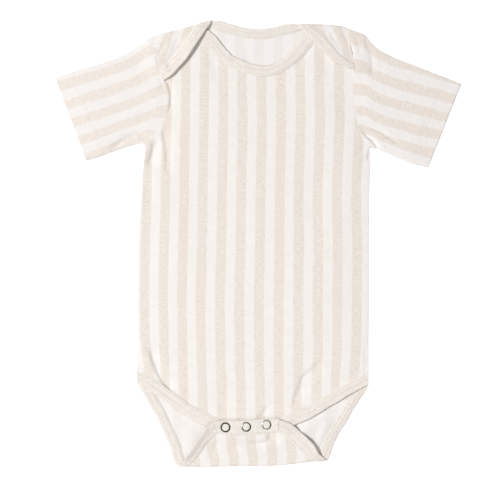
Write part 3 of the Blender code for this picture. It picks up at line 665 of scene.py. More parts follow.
# ---- materials ---------------------------------------------------------------------------------------------------
class Nodes:
    """Short way to write a material's nodes."""

    def __init__(self, name):
        self.material = bpy.data.materials.new(name)
        self.material.use_nodes = True
        self.tree = self.material.node_tree
        self.shader = self.tree.nodes["Principled BSDF"]

    def link(self, a, b):
        self.tree.links.new(a, b)

    def put(self, node, name, value):
        socket = node.inputs[name]
        if hasattr(value, "is_output"):
            self.link(value, socket)
        else:
            socket.default_value = value

    def uv(self, name):
        node = self.tree.nodes.new("ShaderNodeUVMap")
        node.uv_map = name
        return node.outputs[0]

    def split(self, vector):
        node = self.tree.nodes.new("ShaderNodeSeparateXYZ")
        self.link(vector, node.inputs[0])
        return node.outputs[0], node.outputs[1], node.outputs[2]

    def join(self, x, y, z=0.0):
        node = self.tree.nodes.new("ShaderNodeCombineXYZ")
        for i, v in enumerate((x, y, z)):
            self.put(node, i, v)
        return node.outputs[0]

    def math(self, kind, *values):
        node = self.tree.nodes.new("ShaderNodeMath")
        node.operation = kind
        for i, v in enumerate(values):
            self.put(node, i, v)
        return node.outputs[0]

    def noise(self, vector, scale, detail=2.0, rough=0.5, distortion=0.0):
        node = self.tree.nodes.new("ShaderNodeTexNoise")
        self.link(vector, node.inputs["Vector"])
        node.inputs["Scale"].default_value = scale
        node.inputs["Detail"].default_value = detail
        node.inputs["Roughness"].default_value = rough
        node.inputs["Distortion"].default_value = distortion
        return node.outputs[0]

    def ramp(self, value, low, high, out_low=0.0, out_high=1.0, smoothed=True):
        node = self.tree.nodes.new("ShaderNodeMapRange")
        node.interpolation_type = "SMOOTHSTEP" if smoothed else "LINEAR"
        for i, v in enumerate((value, low, high, out_low, out_high)):
            self.put(node, i, v)
        return node.outputs[0]

    def mix(self, share, a, b):
        node = self.tree.nodes.new("ShaderNodeMix")
        node.data_type = "RGBA"
        self.put(node, 0, share)
        for i, v in ((6, a), (7, b)):
            self.put(node, i, v if hasattr(v, "is_output") else (*v, 1.0))
        return node.outputs[2]

    def bump(self, height, strength, distance, normal=None):
        node = self.tree.nodes.new("ShaderNodeBump")
        node.inputs["Strength"].default_value = strength
        node.inputs["Distance"].default_value = distance
        self.link(height, node.inputs["Height"])
        if normal is not None:
            self.link(normal, node.inputs["Normal"])
        return node.outputs[0]

    def surface(self, colour, rough, normal=None, sheen=0.0, metal=0.0):
        s = self.shader.inputs
        self.put(self.shader, "Base Color", colour)
        self.put(self.shader, "Roughness", rough)
        s["Metallic"].default_value = metal
        s["Specular IOR Level"].default_value = 0.25 if metal == 0 else 0.5
        s["Sheen Weight"].default_value = sheen
        s["Sheen Roughness"].default_value = 0.6
        if normal is not None:
            self.link(normal, s["Normal"])
        return self.material


WHITE = (0.813, 0.773, 0.747)
BEIGE_LIGHT = (0.806, 0.746, 0.699)
BEIGE_DARK = (0.690, 0.616, 0.545)
INSIDE_WHITE = (0.815, 0.778, 0.758)
INSIDE_BEIGE = (0.782, 0.740, 0.710)
RIB_LIGHT = (0.811, 0.763, 0.718)
RIB_DARK = (0.722, 0.662, 0.602)


def jersey():
    n = Nodes("jersey_striped_cloth")
    u, v, _ = n.split(n.uv("cloth"))  # millimetres across and along the wales
    stripe, side, _ = n.split(n.uv("stripe"))
    plane = n.join(u, v)
    # the stripes' edges follow the loops of the knit
    edge = n.noise(n.join(n.math("MULTIPLY", u, 0.5), n.math("MULTIPLY", v, 0.9)), 1.0, 2.0)
    wander = n.noise(plane, 0.045, 1.0)
    shifted = n.math("ADD", stripe, n.math("MULTIPLY", n.math("SUBTRACT", edge, 0.5), 0.05))
    shifted = n.math("ADD", shifted, n.math("MULTIPLY", n.math("SUBTRACT", wander, 0.5), 0.06))
    away = n.math("PINGPONG", shifted, 0.5)
    beige = n.ramp(away, 0.215, 0.292, 1.0, 0.0)
    # melange: short flecks along the courses, stronger in some patches
    flecks = n.noise(n.join(n.math("MULTIPLY", u, 0.24), n.math("MULTIPLY", v, 0.80)), 1.0, 3.0, 0.6, 0.4)
    fine = n.noise(n.join(n.math("MULTIPLY", u, 0.9), n.math("MULTIPLY", v, 1.6), 7.3), 1.0, 2.0, 0.5)
    patch = n.noise(n.join(n.math("MULTIPLY", u, 0.06), n.math("MULTIPLY", v, 0.09), 3.1), 1.0, 2.0)
    gain = n.ramp(patch, 0.3, 0.7, 0.55, 1.25)
    both = n.math("ADD", n.math("MULTIPLY", n.math("SUBTRACT", flecks, 0.5), 2.6), n.math("MULTIPLY", n.math("SUBTRACT", fine, 0.5), 1.2))
    # the beige is mixed a very little paler as u grows: to the right across the body, and on each sleeve at a level set
    # by its tone offset
    drift = n.math("MULTIPLY", u, -0.0003)
    shade = n.math("SUBTRACT", n.math("ADD", n.math("MULTIPLY", both, gain), 0.5), drift)
    shade = n.ramp(shade, 0.0, 1.0, 0.0, 1.0, False)
    melange = n.mix(shade, BEIGE_DARK, BEIGE_LIGHT)
    soft = n.noise(plane, 0.11, 2.0)
    white = n.mix(n.ramp(soft, 0.3, 0.7), tuple(c * 0.985 for c in WHITE), tuple(c * 1.012 for c in WHITE))
    outside = n.mix(beige, white, melange)
    inner_beige = n.mix(shade, tuple(c * 0.985 for c in INSIDE_BEIGE), tuple(c * 1.01 for c in INSIDE_BEIGE))
    inside = n.mix(n.math("MULTIPLY", beige, 0.8), INSIDE_WHITE, inner_beige)
    colour = n.mix(side, outside, inside)
    # the knit: columns of small loops
    wale = n.math("PINGPONG", n.math("MULTIPLY", u, 0.9), 0.5)
    lean = n.math("MULTIPLY", n.math("SINE", n.math("MULTIPLY", u, 5.655)), 1.1)
    course = n.math("SINE", n.math("ADD", n.math("MULTIPLY", v, 7.6), lean))
    knit = n.math("ADD", n.math("MULTIPLY", wale, 1.4), n.math("MULTIPLY", course, 0.22))
    fluff = n.noise(plane, 0.7, 3.0, 0.6)
    relief = n.math("ADD", knit, n.math("MULTIPLY", fluff, 0.9))
    normal = n.bump(relief, 0.35, 0.00016)
    slow = n.noise(plane, 0.16, 2.0, 0.5)
    normal = n.bump(slow, 0.35, 0.0011, normal)
    return n.surface(colour, 0.92, normal, sheen=0.12)


def ribbed():
    n = Nodes("rib_binding_cloth")
    u, v, _ = n.split(n.uv("cloth"))  # millimetres along and across the binding
    plane = n.join(u, v)
    flecks = n.noise(n.join(n.math("MULTIPLY", u, 0.9), n.math("MULTIPLY", v, 0.35)), 1.0, 3.0, 0.6, 0.3)
    patch = n.noise(plane, 0.09, 2.0)
    shade = n.math("ADD", n.math("MULTIPLY", n.math("SUBTRACT", flecks, 0.5), 3.0), n.math("MULTIPLY", n.math("SUBTRACT", patch, 0.5), 0.8))
    colour = n.mix(n.ramp(n.math("ADD", shade, 0.5), 0.0, 1.0, 0.0, 1.0, False), RIB_DARK, RIB_LIGHT)
    ribs = n.math("PINGPONG", n.math("MULTIPLY", u, 0.8), 0.5)
    fluff = n.noise(plane, 0.8, 3.0, 0.6)
    relief = n.math("ADD", n.math("MULTIPLY", ribs, 2.0), n.math("MULTIPLY", fluff, 0.8))
    normal = n.bump(relief, 0.4, 0.00018)
    slow = n.noise(plane, 0.2, 2.0, 0.5)
    normal = n.bump(slow, 0.4, 0.001, normal)
    return n.surface(colour, 0.92, normal, sheen=0.12)


def thread():
    n = Nodes("sewing_thread")
    u, v, _ = n.split(n.uv("cloth"))
    twist = n.math("SINE", n.math("ADD", n.math("MULTIPLY", u, 9.0), n.math("MULTIPLY", v, 6.283)))
    tone = n.noise(n.join(u, v), 0.3, 1.0)
    colour = n.mix(tone, (0.70, 0.635, 0.58), (0.78, 0.72, 0.67))
    return n.surface(colour, 0.7, n.bump(twist, 0.5, 0.00008), sheen=0.05)


def nickel():
    n = Nodes("satin_nickel")
    u, v, _ = n.split(n.uv("cloth"))  # angle round the ring, 0 to 1, and how much painted dark reflection it has there
    scratch = n.noise(n.join(n.math("MULTIPLY", u, 60.0), n.math("MULTIPLY", v, 3.0)), 1.0, 3.0)
    dark = n.math("ADD", v, n.math("MULTIPLY", n.math("SUBTRACT", scratch, 0.5), 0.25))
    # painted dark reflection: v mixes the nickel colour towards near black, standing in for the dark surroundings the
    # ring mirrors
    colour = n.mix(n.ramp(dark, 0.0, 1.0, 0.0, 1.0, False), (0.62, 0.61, 0.59), (0.035, 0.033, 0.032))
    rough = n.ramp(scratch, 0.3, 0.7, 0.28, 0.42)
    return n.surface(colour, rough, n.bump(scratch, 0.25, 0.00005), metal=1.0)


def steel():
    """For the snaps' inner parts, which are carried over from the solid model."""
    n = Nodes("snap_steel")
    where = n.tree.nodes.new("ShaderNodeTexCoord").outputs["Object"]
    scratch = n.noise(where, 900.0, 3.0)
    colour = n.mix(scratch, (0.40, 0.40, 0.41), (0.56, 0.56, 0.56))
    rough = n.ramp(scratch, 0.3, 0.7, 0.30, 0.45)
    return n.surface(colour, rough, n.bump(scratch, 0.2, 0.00005), metal=1.0)


JERSEY, RIBBED, THREAD, NICKEL, STEEL = jersey(), ribbed(), thread(), nickel(), steel()


# ---- seams -------------------------------------------------------------------------------------------------------
def with_q(rows):
    layer = rows.get("layer", np.zeros_like(rows["free_x"]))
    out = dict(rows)
    out["free_q"] = opened(layer, rows["free_x"], rows["free_y"])
    out["seam_q"] = opened(layer, rows["seam_x"], rows["seam_y"])
    return out


def seam_line(rows, samples=160):
    free = np.stack([rows["free_x"], rows["free_q"]], axis=1)
    seam = np.stack([rows["seam_x"], rows["seam_q"]], axis=1)
    mid, t = lengths((free + seam) / 2), np.linspace(0, 1, samples)
    return smooth(t, mid, seam[:, 0]), smooth(t, mid, seam[:, 1])


def on_front(x, y):
    near = 0.0
    return x, y, front_z(x, y, near) + RIB_RISE + 0.1 * side_rim(x, y)


def on_back(x, q):
    return back_point(x, q, RIB_RISE)


# ---- stitches ----------------------------------------------------------------------------------------------------
def stitch_rows(name, lines, pitch=2.9, long=2.3, r=0.20, lift=0.04):
    """Rows of single stitches. Each line is (points on the cloth's surface, normals there)."""
    parts, uvs, faces, start = [], [], [], 0
    around = np.linspace(0, 2 * math.pi, 6, endpoint=False)
    heights = np.array([-0.34, 0.02, 1.0, 1.0, 0.02, -0.34])
    where = np.array([-0.5, -0.40, -0.2, 0.2, 0.40, 0.5])
    thick = np.array([0.45, 0.8, 1.0, 1.0, 0.8, 0.45])
    for points, normals in lines:
        s = np.concatenate([[0.0], np.cumsum(np.linalg.norm(np.diff(points, axis=0), axis=1))])
        count = max(int((s[-1] - 1.0) / pitch), 1)
        centres = (np.arange(count) + 0.5) * s[-1] / count
        at = centres[:, None] + where[None, :] * long
        p = np.stack([np.interp(at, s, points[:, k]) for k in range(3)], axis=-1)
        ahead = np.stack([np.interp(at + 0.2, s, points[:, k]) for k in range(3)], axis=-1)
        behind = np.stack([np.interp(at - 0.2, s, points[:, k]) for k in range(3)], axis=-1)
        n = unit(np.stack([np.interp(at, s, normals[:, k]) for k in range(3)], axis=-1))
        t = unit(ahead - behind)
        b = unit(np.cross(t, n))
        p = p + n * (heights * (lift + 0.12))[None, :, None]
        ring = (
            p[:, :, None, :]
            + b[:, :, None, :] * (np.cos(around)[None, None, :, None] * (r * thick)[None, :, None, None])
            + n[:, :, None, :] * (np.sin(around)[None, None, :, None] * (r * thick)[None, :, None, None])
        )
        k, m = ring.shape[1], ring.shape[2]
        parts.append(ring.reshape(-1, 3))
        uv = np.stack(
            [np.broadcast_to(at[:, :, None], ring.shape[:3]), np.broadcast_to(around / (2 * math.pi), ring.shape[:3])],
            axis=-1,
        )
        uvs.append(uv.reshape(-1, 2))
        base = start + np.arange(count)[:, None, None] * k * m
        i, j = np.meshgrid(np.arange(k - 1), np.arange(m), indexing="ij")
        j2 = (j + 1) % m
        quads = np.stack([i * m + j, i * m + j2, (i + 1) * m + j2, (i + 1) * m + j], axis=-1).reshape(-1, 4)
        faces.append((base.reshape(-1, 1, 1) + quads[None]).reshape(-1, 4))
        caps = np.array([[3, 2, 1, 0], [5, 4, 3, 0]])
        last = (k - 1) * m + np.array([[0, 1, 2, 3], [0, 3, 4, 5]])
        both = np.concatenate([caps, last])
        faces.append((base.reshape(-1, 1, 1) + both[None]).reshape(-1, 4))
        start += ring.shape[0] * k * m
    ob = mesh_object(name, np.concatenate(parts), np.concatenate(faces)[:, ::-1], {"cloth": np.concatenate(uvs)}, THREAD, 0.02)
    return ob


# ---- bindings ----------------------------------------------------------------------------------------------------
ACROSS = np.array([0, 0.012, 0.04, 0.08, 0.12, 0.15, 0.18, 0.21, 0.25, 0.32, 0.40, 0.48, 0.53, 0.56, 0.59, 0.62, 0.67,
                   0.74, 0.81, 0.87, 0.92, 0.96, 0.988, 1.0])
ROWS = (0.18, 0.575)  # where the two needles sew, as shares of the width from the seam edge


def profile(f, groove=0.20, rows=ROWS, edge=0.085):
    """Half thickness of a folded binding across its width."""
    free = np.sqrt(np.clip(1 - (1 - np.clip((1 - f) / edge, 0, 1)) ** 2, 0, 1))
    h = np.where(f < 0.5, 0.45 + 0.55 * step(0, 0.20, f), 0.14 + 0.86 * free)
    dent = sum(np.exp(-(((f - row) / 0.03) ** 2)) for row in rows)
    puff = 0.05 * np.sin(math.pi * f)
    return RIB / 2 * (h + puff) - groove * dent


def binding(name, edges, place, shape=None, spacing=1.5, flip=False, stitched=(1,), groove=0.20, rows=ROWS, seed=0.0, out=-0.3,
            fractions=ACROSS, slim=None):
    free = np.stack([edges["free_x"], edges["free_q"]], axis=1)
    seam = np.stack([edges["seam_x"], edges["seam_q"]], axis=1)
    mid = lengths((free + seam) / 2)
    total = np.sum(np.linalg.norm(np.diff((free + seam) / 2, axis=0), axis=1))
    v = np.linspace(0, 1, max(int(total / spacing), 8))
    v = np.concatenate([[0, 0.05 / total], v[1:-1], [1 - 0.05 / total, 1]])  # the ends are square
    f_line = np.stack([smooth(v, mid, free[:, k]) for k in (0, 1)], axis=-1)
    s_line = np.stack([smooth(v, mid, seam[:, k]) for k in (0, 1)], axis=-1)
    way = f_line - s_line
    wide = np.linalg.norm(way, axis=1, keepdims=True)
    s_line = s_line + way / wide * 0.15
    # the free edge isn't perfectly even
    wave = 0.16 * np.sin(v * total / 3.1 + seed) + 0.12 * np.sin(v * total / 5.3 + 2.2 * seed + 1.0)
    f_line = f_line + way / wide * (wave + out)[:, None]
    p = s_line[None] + (f_line - s_line)[None] * fractions[:, None, None]
    x, y, z = place(p[..., 0], p[..., 1])
    f = np.broadcast_to(fractions[:, None], x.shape)
    along_mm = np.broadcast_to((v * total)[None], x.shape)
    if shape is not None:
        z = z + shape(p[..., 0], p[..., 1], f, along_mm)
    z = z + 0.09 * np.sin(along_mm / 2.7 + 3 * f + seed) * f + 0.07 * np.sin(along_mm / 6.1 - 2 * f + 2 * seed)
    grid = np.stack([x, y, z], axis=-1)
    half = profile(f, groove, rows)
    if slim is not None:
        half = half * (1 - slim(p[..., 0], p[..., 1], f, along_mm))
    maps = {"cloth": np.stack([along_mm, f * wide[:, 0][None]], axis=-1)}
    ob = shell(name, grid, half, half, maps, RIBBED, flip=flip, bulge=0.5, end=0.05)
    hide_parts(name)
    lines = []
    normal = grid_normals(grid) * (-1 if flip else 1)
    for side in stitched:
        for row in rows:
            k = int(np.argmin(np.abs(fractions - row)))
            lines.append((grid[k] + side * normal[k] * half[k][:, None], side * normal[k]))
    return ob, lines, grid, normal, half


# ---- front -------------------------------------------------------------------------------------------------------
def solve(u, k_level, levels, left, right):
    """x and q of a grid whose columns are shares u of the width and whose rows are k_level of levels(x)."""
    x = left(0.0) + (right(0.0) - left(0.0)) * u
    q = np.zeros_like(x)
    for _ in range(60):
        b = levels(x)
        i = np.clip(np.floor(k_level).astype(int), 0, len(b) - 2)
        f = k_level - i
        flat = i.reshape(-1)
        cols = np.arange(flat.size)
        b = b.reshape(len(b), -1)
        q = ((1 - f.reshape(-1)) * b[flat, cols] + f.reshape(-1) * b[flat + 1, cols]).reshape(x.shape)
        x = 0.5 * x + 0.5 * (left(q) + (right(q) - left(q)) * u)
    return x, q


def front():
    lines = [seam_line(with_q(t)) for t in (FRONT_LEG_LEFT, FRONT_BAND, FRONT_LEG_RIGHT)]
    bottom_x = np.concatenate([lines[0][0], lines[1][0][4:-4], lines[2][0][::-1]])
    bottom_y = np.concatenate([lines[0][1], lines[1][1][4:-4], lines[2][1][::-1]])
    neck_x, neck_y = seam_line(with_q(FRONT_NECK))
    shares = spread(118, (0.0, 0.05, 1.2), (1.0, 0.05, 0.8), (0.1, 0.06, 0.6), (0.69, 0.05, 0.5))
    shares = np.concatenate([[0, 0.0008], shares[1:-1], [0.9992, 1]])  # the edges are square
    rows = spread(226, (0.0, 0.16, 0.7), (1.0, 0.12, 0.4))
    u, k = np.meshgrid(shares, rows, indexing="ij")

    def levels(x):
        return np.stack([smooth(x, bottom_x, bottom_y) - 0.9, smooth(x, neck_x, neck_y) + 0.9])

    x, y = solve(u, k, levels, lambda q: body_left(q) + 0.35, lambda q: body_right(q) - 0.35)
    mid = np.stack([x, y, np.maximum(front_z(x, y), back_point(x, y)[2] + 0.25)], axis=-1)
    maps = {"cloth": np.stack([x, y], axis=-1), "stripe": np.stack([front_stripe(x, y), 0 * x], axis=-1)}
    ob = shell("front_panel_cloth", mid, CLOTH / 2, CLOTH / 2, maps, JERSEY, bulge=0.3)
    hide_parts("front_panel")
    return ob, mid


def back_edges():
    edges = {}
    for side, leg, x_name in (("left", BACK_LEG_LEFT, "left"), ("right", BACK_LEG_RIGHT, "right")):
        leg_x, leg_q = seam_line(with_q(leg))
        keep = BODY["y"] > -120
        lap_y = np.array([204.0, 196.0, 189.0, 180.0, 172.0])
        lap_x = smooth(lap_y, BODY["y"], BODY[x_name])
        lap_q = 2 * shoulder_fold(lap_x) - lap_y
        out = 0.7 if side == "right" else -0.7
        leg_out = -0.5 + 1.5 * step(-131, -139, leg_q[::-1])
        q = np.concatenate([leg_q[::-1], BODY["y"][keep], lap_q])
        x = np.concatenate([leg_x[::-1] + out * leg_out, BODY[x_name][keep] - out / 2, lap_x - out / 2])
        order = np.argsort(q)
        edges[side] = (q[order], x[order])
    return edges


def back():
    edges = back_edges()
    neck_x, neck_q = seam_line(with_q(BACK_NECK))
    band_x, band_q = seam_line(with_q(BACK_BAND))
    half = (LAP_Z - BACK_Z) / 2
    counts = (20, 6, 176, 8, 26)

    def levels(x):
        end = smooth(x, band_x, band_q) - 0.7
        low = crotch_fold(x)
        up = shoulder_fold(x)
        top = smooth(x, neck_x, neck_q) + 0.7
        turn0 = np.minimum(up - half, top - 9.0)
        turn1 = np.minimum(up + half, top - 4.0)
        return np.stack([end, low - 1.1, low + 1.1, turn0, turn1, top])

    rows = np.concatenate([i + np.arange(c) / c for i, c in enumerate(counts)] + [[len(counts)]])
    shares = spread(122, (0.0, 0.05, 0.8), (1.0, 0.05, 0.8), (0.25, 0.05, 1.6), (0.75, 0.05, 1.6))
    shares = np.concatenate([[0, 0.0008], shares[1:-1], [0.9992, 1]])
    u, k = np.meshgrid(shares, rows, indexing="ij")
    x, q = solve(u, k, levels, lambda t: smooth(t, *edges["left"]), lambda t: smooth(t, *edges["right"]))
    mid = np.stack(back_point(x, q), axis=-1)
    maps = {"cloth": np.stack([x, q], axis=-1), "stripe": np.stack([back_stripe(x, q), 0 * x], axis=-1)}
    ob = shell("back_panel_cloth", mid, CLOTH / 2, CLOTH / 2, maps, JERSEY, flip=True)
    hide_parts("back_panel")
    return ob, mid


# ---- sleeves -----------------------------------------------------------------------------------------------------
def sleeve(side, top, bottom, body_edge, sign, folds, arm, cuff, level, corner, dip, below, tone):
    top_points = np.stack([top["x"], top["y"]], axis=1)
    low_points = np.stack([bottom["x"], bottom["y"]], axis=1)
    turn = 0.004
    bends = np.radians(np.linspace(-90, 90, 9))
    flat = np.linspace(0.010, 0.990, 56)
    ring = [(turn - turn * math.cos(a), math.sin(a)) for a in bends]
    ring += [(s, 1.0) for s in flat]
    ring += [(1 - turn + turn * math.cos(a), math.sin(a)) for a in bends[::-1]]
    ring += [(s, -1.0) for s in flat[::-1]]
    ring = np.array(ring)
    v = spread(60, (0.0, 0.12, 0.8), (1.0, 0.04, 0.8))
    v = np.concatenate([[0, 0.002], v[1:]])
    s, v = np.meshgrid(ring[:, 0], v, indexing="ij")
    h = np.broadcast_to(ring[:, 1][:, None], s.shape)
    y0, y1 = bottom["y"][0], top["y"][0]
    out_t, out_b = along(top_points, v), along(low_points, v)
    end = low_points[-1] + (top_points[-1] - low_points[-1]) * s[..., None]
    arm_y = y0 + (y1 - y0) * s
    start = np.stack([body_edge(arm_y) - sign * 0.5, arm_y], axis=-1)
    v_, s_ = v[..., None], s[..., None]
    corners = (
        (1 - s_) * (1 - v_) * low_points[0]
        + s_ * (1 - v_) * top_points[0]
        + (1 - s_) * v_ * low_points[-1]
        + s_ * v_ * top_points[-1]
    )
    p = (1 - v_) * start + v_ * end + (1 - s_) * out_b + s_ * out_t - corners
    x, y = p[..., 0], p[..., 1]
    long = np.linalg.norm(np.gradient(p, axis=1), axis=-1)
    to_cuff = np.cumsum(long[:, ::-1], axis=1)[:, ::-1] - long / 2
    upper = (h + 1) / 2
    crown = 0.45 * np.sin(math.pi * np.clip(s, 0, 1)) ** 0.7
    rise = FRONT_Z - 0.25 + crown * step(0, 0.2, v) - 0.45 * step(0.75, 1.0, v) - 0.1 * (1 - step(0, 0.03, v))
    # towards the shoulder the sleeve comes up to the laps' level at the armhole seam, but for a short open stretch
    rise = rise + level * step(*corner, s) * (1 - step(0.0, 0.24, v))
    rise = rise - dip[0] * step(dip[1], dip[1] + 0.03, s) * (1 - step(dip[2] - 0.03, dip[2], s)) * (1 - step(0.004, 0.022, v))
    rise = rise + fold_height(x, y, folds) * np.minimum(1, step(0, 0.05, s) * (1 - step(0.95, 1, s)) + 0.3)
    seam = 1 - step(0.01, 0.07, v)
    rise = rise + sway(x, y, 0.2, 3.0) * (1 - seam) + sway(x, y, 0.22) * seam
    rise = np.maximum(rise - 0.45 * (1 - step(0, 0.045, s)), BACK_Z + 0.15)
    hem = np.exp(-(((to_cuff - 17.0) / 0.5) ** 2)) + np.exp(-(((to_cuff - 20.0) / 0.5) ** 2))
    under = 0.45 * np.exp(-(((s - 0.62 - 0.1 * v) / 0.06) ** 2)) * step(0.1, 0.4, v) * (1 - step(0.7, 0.95, v))
    z = BACK_Z + (rise - BACK_Z) * upper + under * (1 - upper)
    mid = np.stack([x, y, z], axis=-1)
    # stripes run along the sleeve
    k = np.arange(len(SLEEVE_STRIPES[arm]), dtype=float)
    a, c = SLEEVE_STRIPES[arm], SLEEVE_STRIPES[cuff]
    count = np.zeros_like(s)
    for j in range(s.shape[1]):
        spots = a + (c - a) * v[0, j] ** 0.9
        first, last = spots[1] - spots[0], spots[-1] - spots[-2]
        low = spots[0] - first / 2
        xs = np.concatenate([[low - 1.5 * first * below, low], spots, [spots[-1] + 2 * last]])
        ks = np.concatenate([[-2, -0.5], k, [k[-1] + 2]])
        edge_top = np.interp(1.0, xs, ks)
        on = np.interp(s[:, j], xs, ks)
        count[:, j] = np.where(h[:, j] >= 0, on, 2 * edge_top - on)
        turned = (h[:, j] < 0) & (s[:, j] < turn + 1e-6)
        count[:, j] = np.where(turned & (np.arange(len(s)) < 9), on, count[:, j])
    across = np.where(h >= 0, s, 2 - s) * 100.0 + tone
    maps = {
        "cloth": np.stack([across, np.cumsum(long, axis=1)], axis=-1),
        "stripe": np.stack([count, 0 * s], axis=-1),
    }
    ob = shell(f"sleeve_{side}_cloth", mid, CLOTH / 2 - 0.06 * hem, CLOTH / 2, maps, JERSEY, wrap=True, flip=sign > 0)
    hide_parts(f"sleeve_{side}")
    # two rows of stitches round the hem
    normal = grid_normals(mid, True) * (-1 if sign > 0 else 1)
    lines = []
    for away in (17.0, 20.0):
        points, ways = [], []
        for i in range(len(s)):
            order = np.argsort(to_cuff[i])
            surface = mid[i] + normal[i] * (CLOTH / 2 - 0.06)
            points.append([np.interp(away, to_cuff[i][order], surface[order, j]) for j in range(3)])
            ways.append([np.interp(away, to_cuff[i][order], normal[i][order, j]) for j in range(3)])
        points.append(points[0])
        ways.append(ways[0])
        lines.append((np.array(points), np.array(ways)))
    sewn = stitch_rows(f"sleeve_{side}_hem_stitches", lines, pitch=2.6, long=2.1, r=0.12, lift=0.0)
    return ob, sewn


# ---- snaps -------------------------------------------------------------------------------------------------------
def snap_ring(i, x0, y0, z0, tilt, painted_reflection):
    """An open prong ring: a pressed collar, higher at its inner edge, with a rolled outer edge."""
    outline = [(4.90, 0.00), (4.94, 0.22), (4.86, 0.42), (4.68, 0.55), (4.42, 0.66), (4.12, 0.74), (3.88, 0.74),
               (3.70, 0.62), (3.62, 0.40), (3.62, 0.05), (3.76, -0.20), (4.34, -0.25), (4.80, -0.20)]
    segments = 72
    angle = np.linspace(0, 2 * math.pi, segments, endpoint=False)
    r = np.array([p[0] for p in outline])
    h = np.array([p[1] for p in outline])
    a, rr = np.meshgrid(angle, r, indexing="ij")
    hh = np.broadcast_to(h, rr.shape)
    x, y = rr * np.cos(a), rr * np.sin(a)
    z = z0 + hh + tilt[0] * x + tilt[1] * y
    grid = np.stack([x0 + x, y0 + y, z], axis=-1)
    n = len(r)
    index = np.arange(segments * n).reshape(segments, n)
    nxt = np.roll(index, -1, axis=0)
    faces = np.stack([index, nxt, np.roll(nxt, -1, axis=1), np.roll(index, -1, axis=1)], axis=-1).reshape(-1, 4)
    base, swing, at, reach = painted_reflection
    # painted dark reflection: base darkens the whole ring, swing darkens it further round angle at, on the side away
    # from the key light
    dark = base + swing * np.exp(-((((a - at + math.pi) % (2 * math.pi) - math.pi) / reach) ** 2))
    maps = {"cloth": np.stack([a / (2 * math.pi), dark], axis=-1).reshape(-1, 2)}
    ob = mesh_object(f"snap_{i}_ring", grid.reshape(-1, 3), faces, maps, NICKEL)
    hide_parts(f"snap_ring_{i}")
    return ob


# ---- the whole ---------------------------------------------------------------------------------------------------
front_cloth, front_mid = front()
back_cloth, back_mid = back()
sleeve_left, hem_left = sleeve(
    "left", SLEEVE_LEFT_TOP, SLEEVE_LEFT_BOTTOM, body_left, -1, SLEEVE_LEFT_FOLDS, "left_arm", "left_cuff",
    level=2.0, corner=(0.57, 0.68), dip=(0.45, 0.73, 0.84), below=1.0, tone=430.0,
)
sleeve_right, hem_right = sleeve(
    "right", SLEEVE_RIGHT_TOP, SLEEVE_RIGHT_BOTTOM, body_right, 1, SLEEVE_RIGHT_FOLDS, "right_arm", "right_cuff",
    level=1.25, corner=(0.56, 0.66), dip=(1.9, 0.77, 0.89), below=2.2, tone=70.0,
)


def neck_front_shape(x, q, f, s):
    """The scoop's free edge lies down on the back."""
    scoop = step(-52, -40, x) * (1 - step(40, 50, x))
    return -0.2 * f * scoop


def neck_back_shape(x, q, f, s):
    """Its ends are sewn down in the armhole seams."""
    total = s.max()
    return -0.3 * (1 - step(0, 5, s)) - 0.2 * step(total - 5, total, s)


def leg_left_shape(x, q, f, s):
    return fold_height(x, q, BINDING_LEG_LEFT_FOLDS)


def tail_left_shape(x, q, f, s):
    """The flap's left binding curls up along its free edge."""
    d = crotch_fold(x) - q
    return 3.2 * f**2.2 * step(1, 10, d) * (1 - step(39, 47, d))


def tail_left_slim(x, q, f, s):
    d = crotch_fold(x) - q
    return 0.8 * f**1.5 * step(0, 8, d) * (1 - step(42, 48, d))


def tail_right_shape(x, q, f, s):
    d = crotch_fold(x) - q
    lift = 2.0 * f**1.5 * step(2, 10, d) * (1 - step(22, 33, d))
    round_off = -0.7 * f**3 * step(2, 12, -d) * (1 - step(60, 75, -d))
    return lift + round_off - 1.5 * f**1.5 * step(24, 33, d) * (1 - step(40, 47, d))


def tail_right_slim(x, q, f, s):
    d = crotch_fold(x) - q
    inner = 0.35 * (1 - step(0.15, 0.6, f)) * step(4, 20, -d)
    return inner + 0.45 * f**2 * step(22, 32, d) * (1 - step(40, 47, d))


neck_front, neck_front_lines, *_ = binding(
    "neck_binding_front", with_q(FRONT_NECK), on_front, neck_front_shape, flip=False, stitched=(-1,), seed=0.3, out=0.0
)
neck_back, neck_back_lines, *_ = binding(
    "neck_binding_back", with_q(BACK_NECK), on_back, neck_back_shape, flip=False, stitched=(1, -1), seed=1.1, out=0.4
)
leg_front_left, leg_front_left_lines, *_ = binding(
    "leg_binding_front_left", with_q(FRONT_LEG_LEFT), on_front, leg_left_shape, seed=2.0
)
leg_front_right, leg_front_right_lines, *_ = binding(
    "leg_binding_front_right", with_q(FRONT_LEG_RIGHT), on_front, None, flip=True, seed=2.9
)
leg_back_left, leg_back_left_lines, *_ = binding(
    "leg_binding_back_left", with_q(BACK_LEG_LEFT), on_back, tail_left_shape, flip=False, stitched=(1, -1), seed=3.7,
    slim=tail_left_slim,
)
leg_back_right, leg_back_right_lines, *_ = binding(
    "leg_binding_back_right", with_q(BACK_LEG_RIGHT), on_back, tail_right_shape, flip=True, stitched=(1, -1), seed=4.6,
    slim=tail_right_slim,
)

BAND_ACROSS = np.concatenate([[0, 0.012, 0.04], np.linspace(0.08, 0.92, 22), [0.96, 0.988, 1.0]])


def band_shape(x, q, f, s):
    y = 2 * crotch_fold(x) - q
    z = -0.55 * f**3 * step(0, 10, s) * (1 - step(56, 66, s))
    for sx, sy in zip(SNAPS["x"], SNAPS["y"]):
        r = np.hypot(x - sx, y - sy)
        z = z - 0.35 * np.exp(-(((r - 4.6) / 1.5) ** 2)) - 0.1 * np.exp(-((r / 3.0) ** 2))
    return z


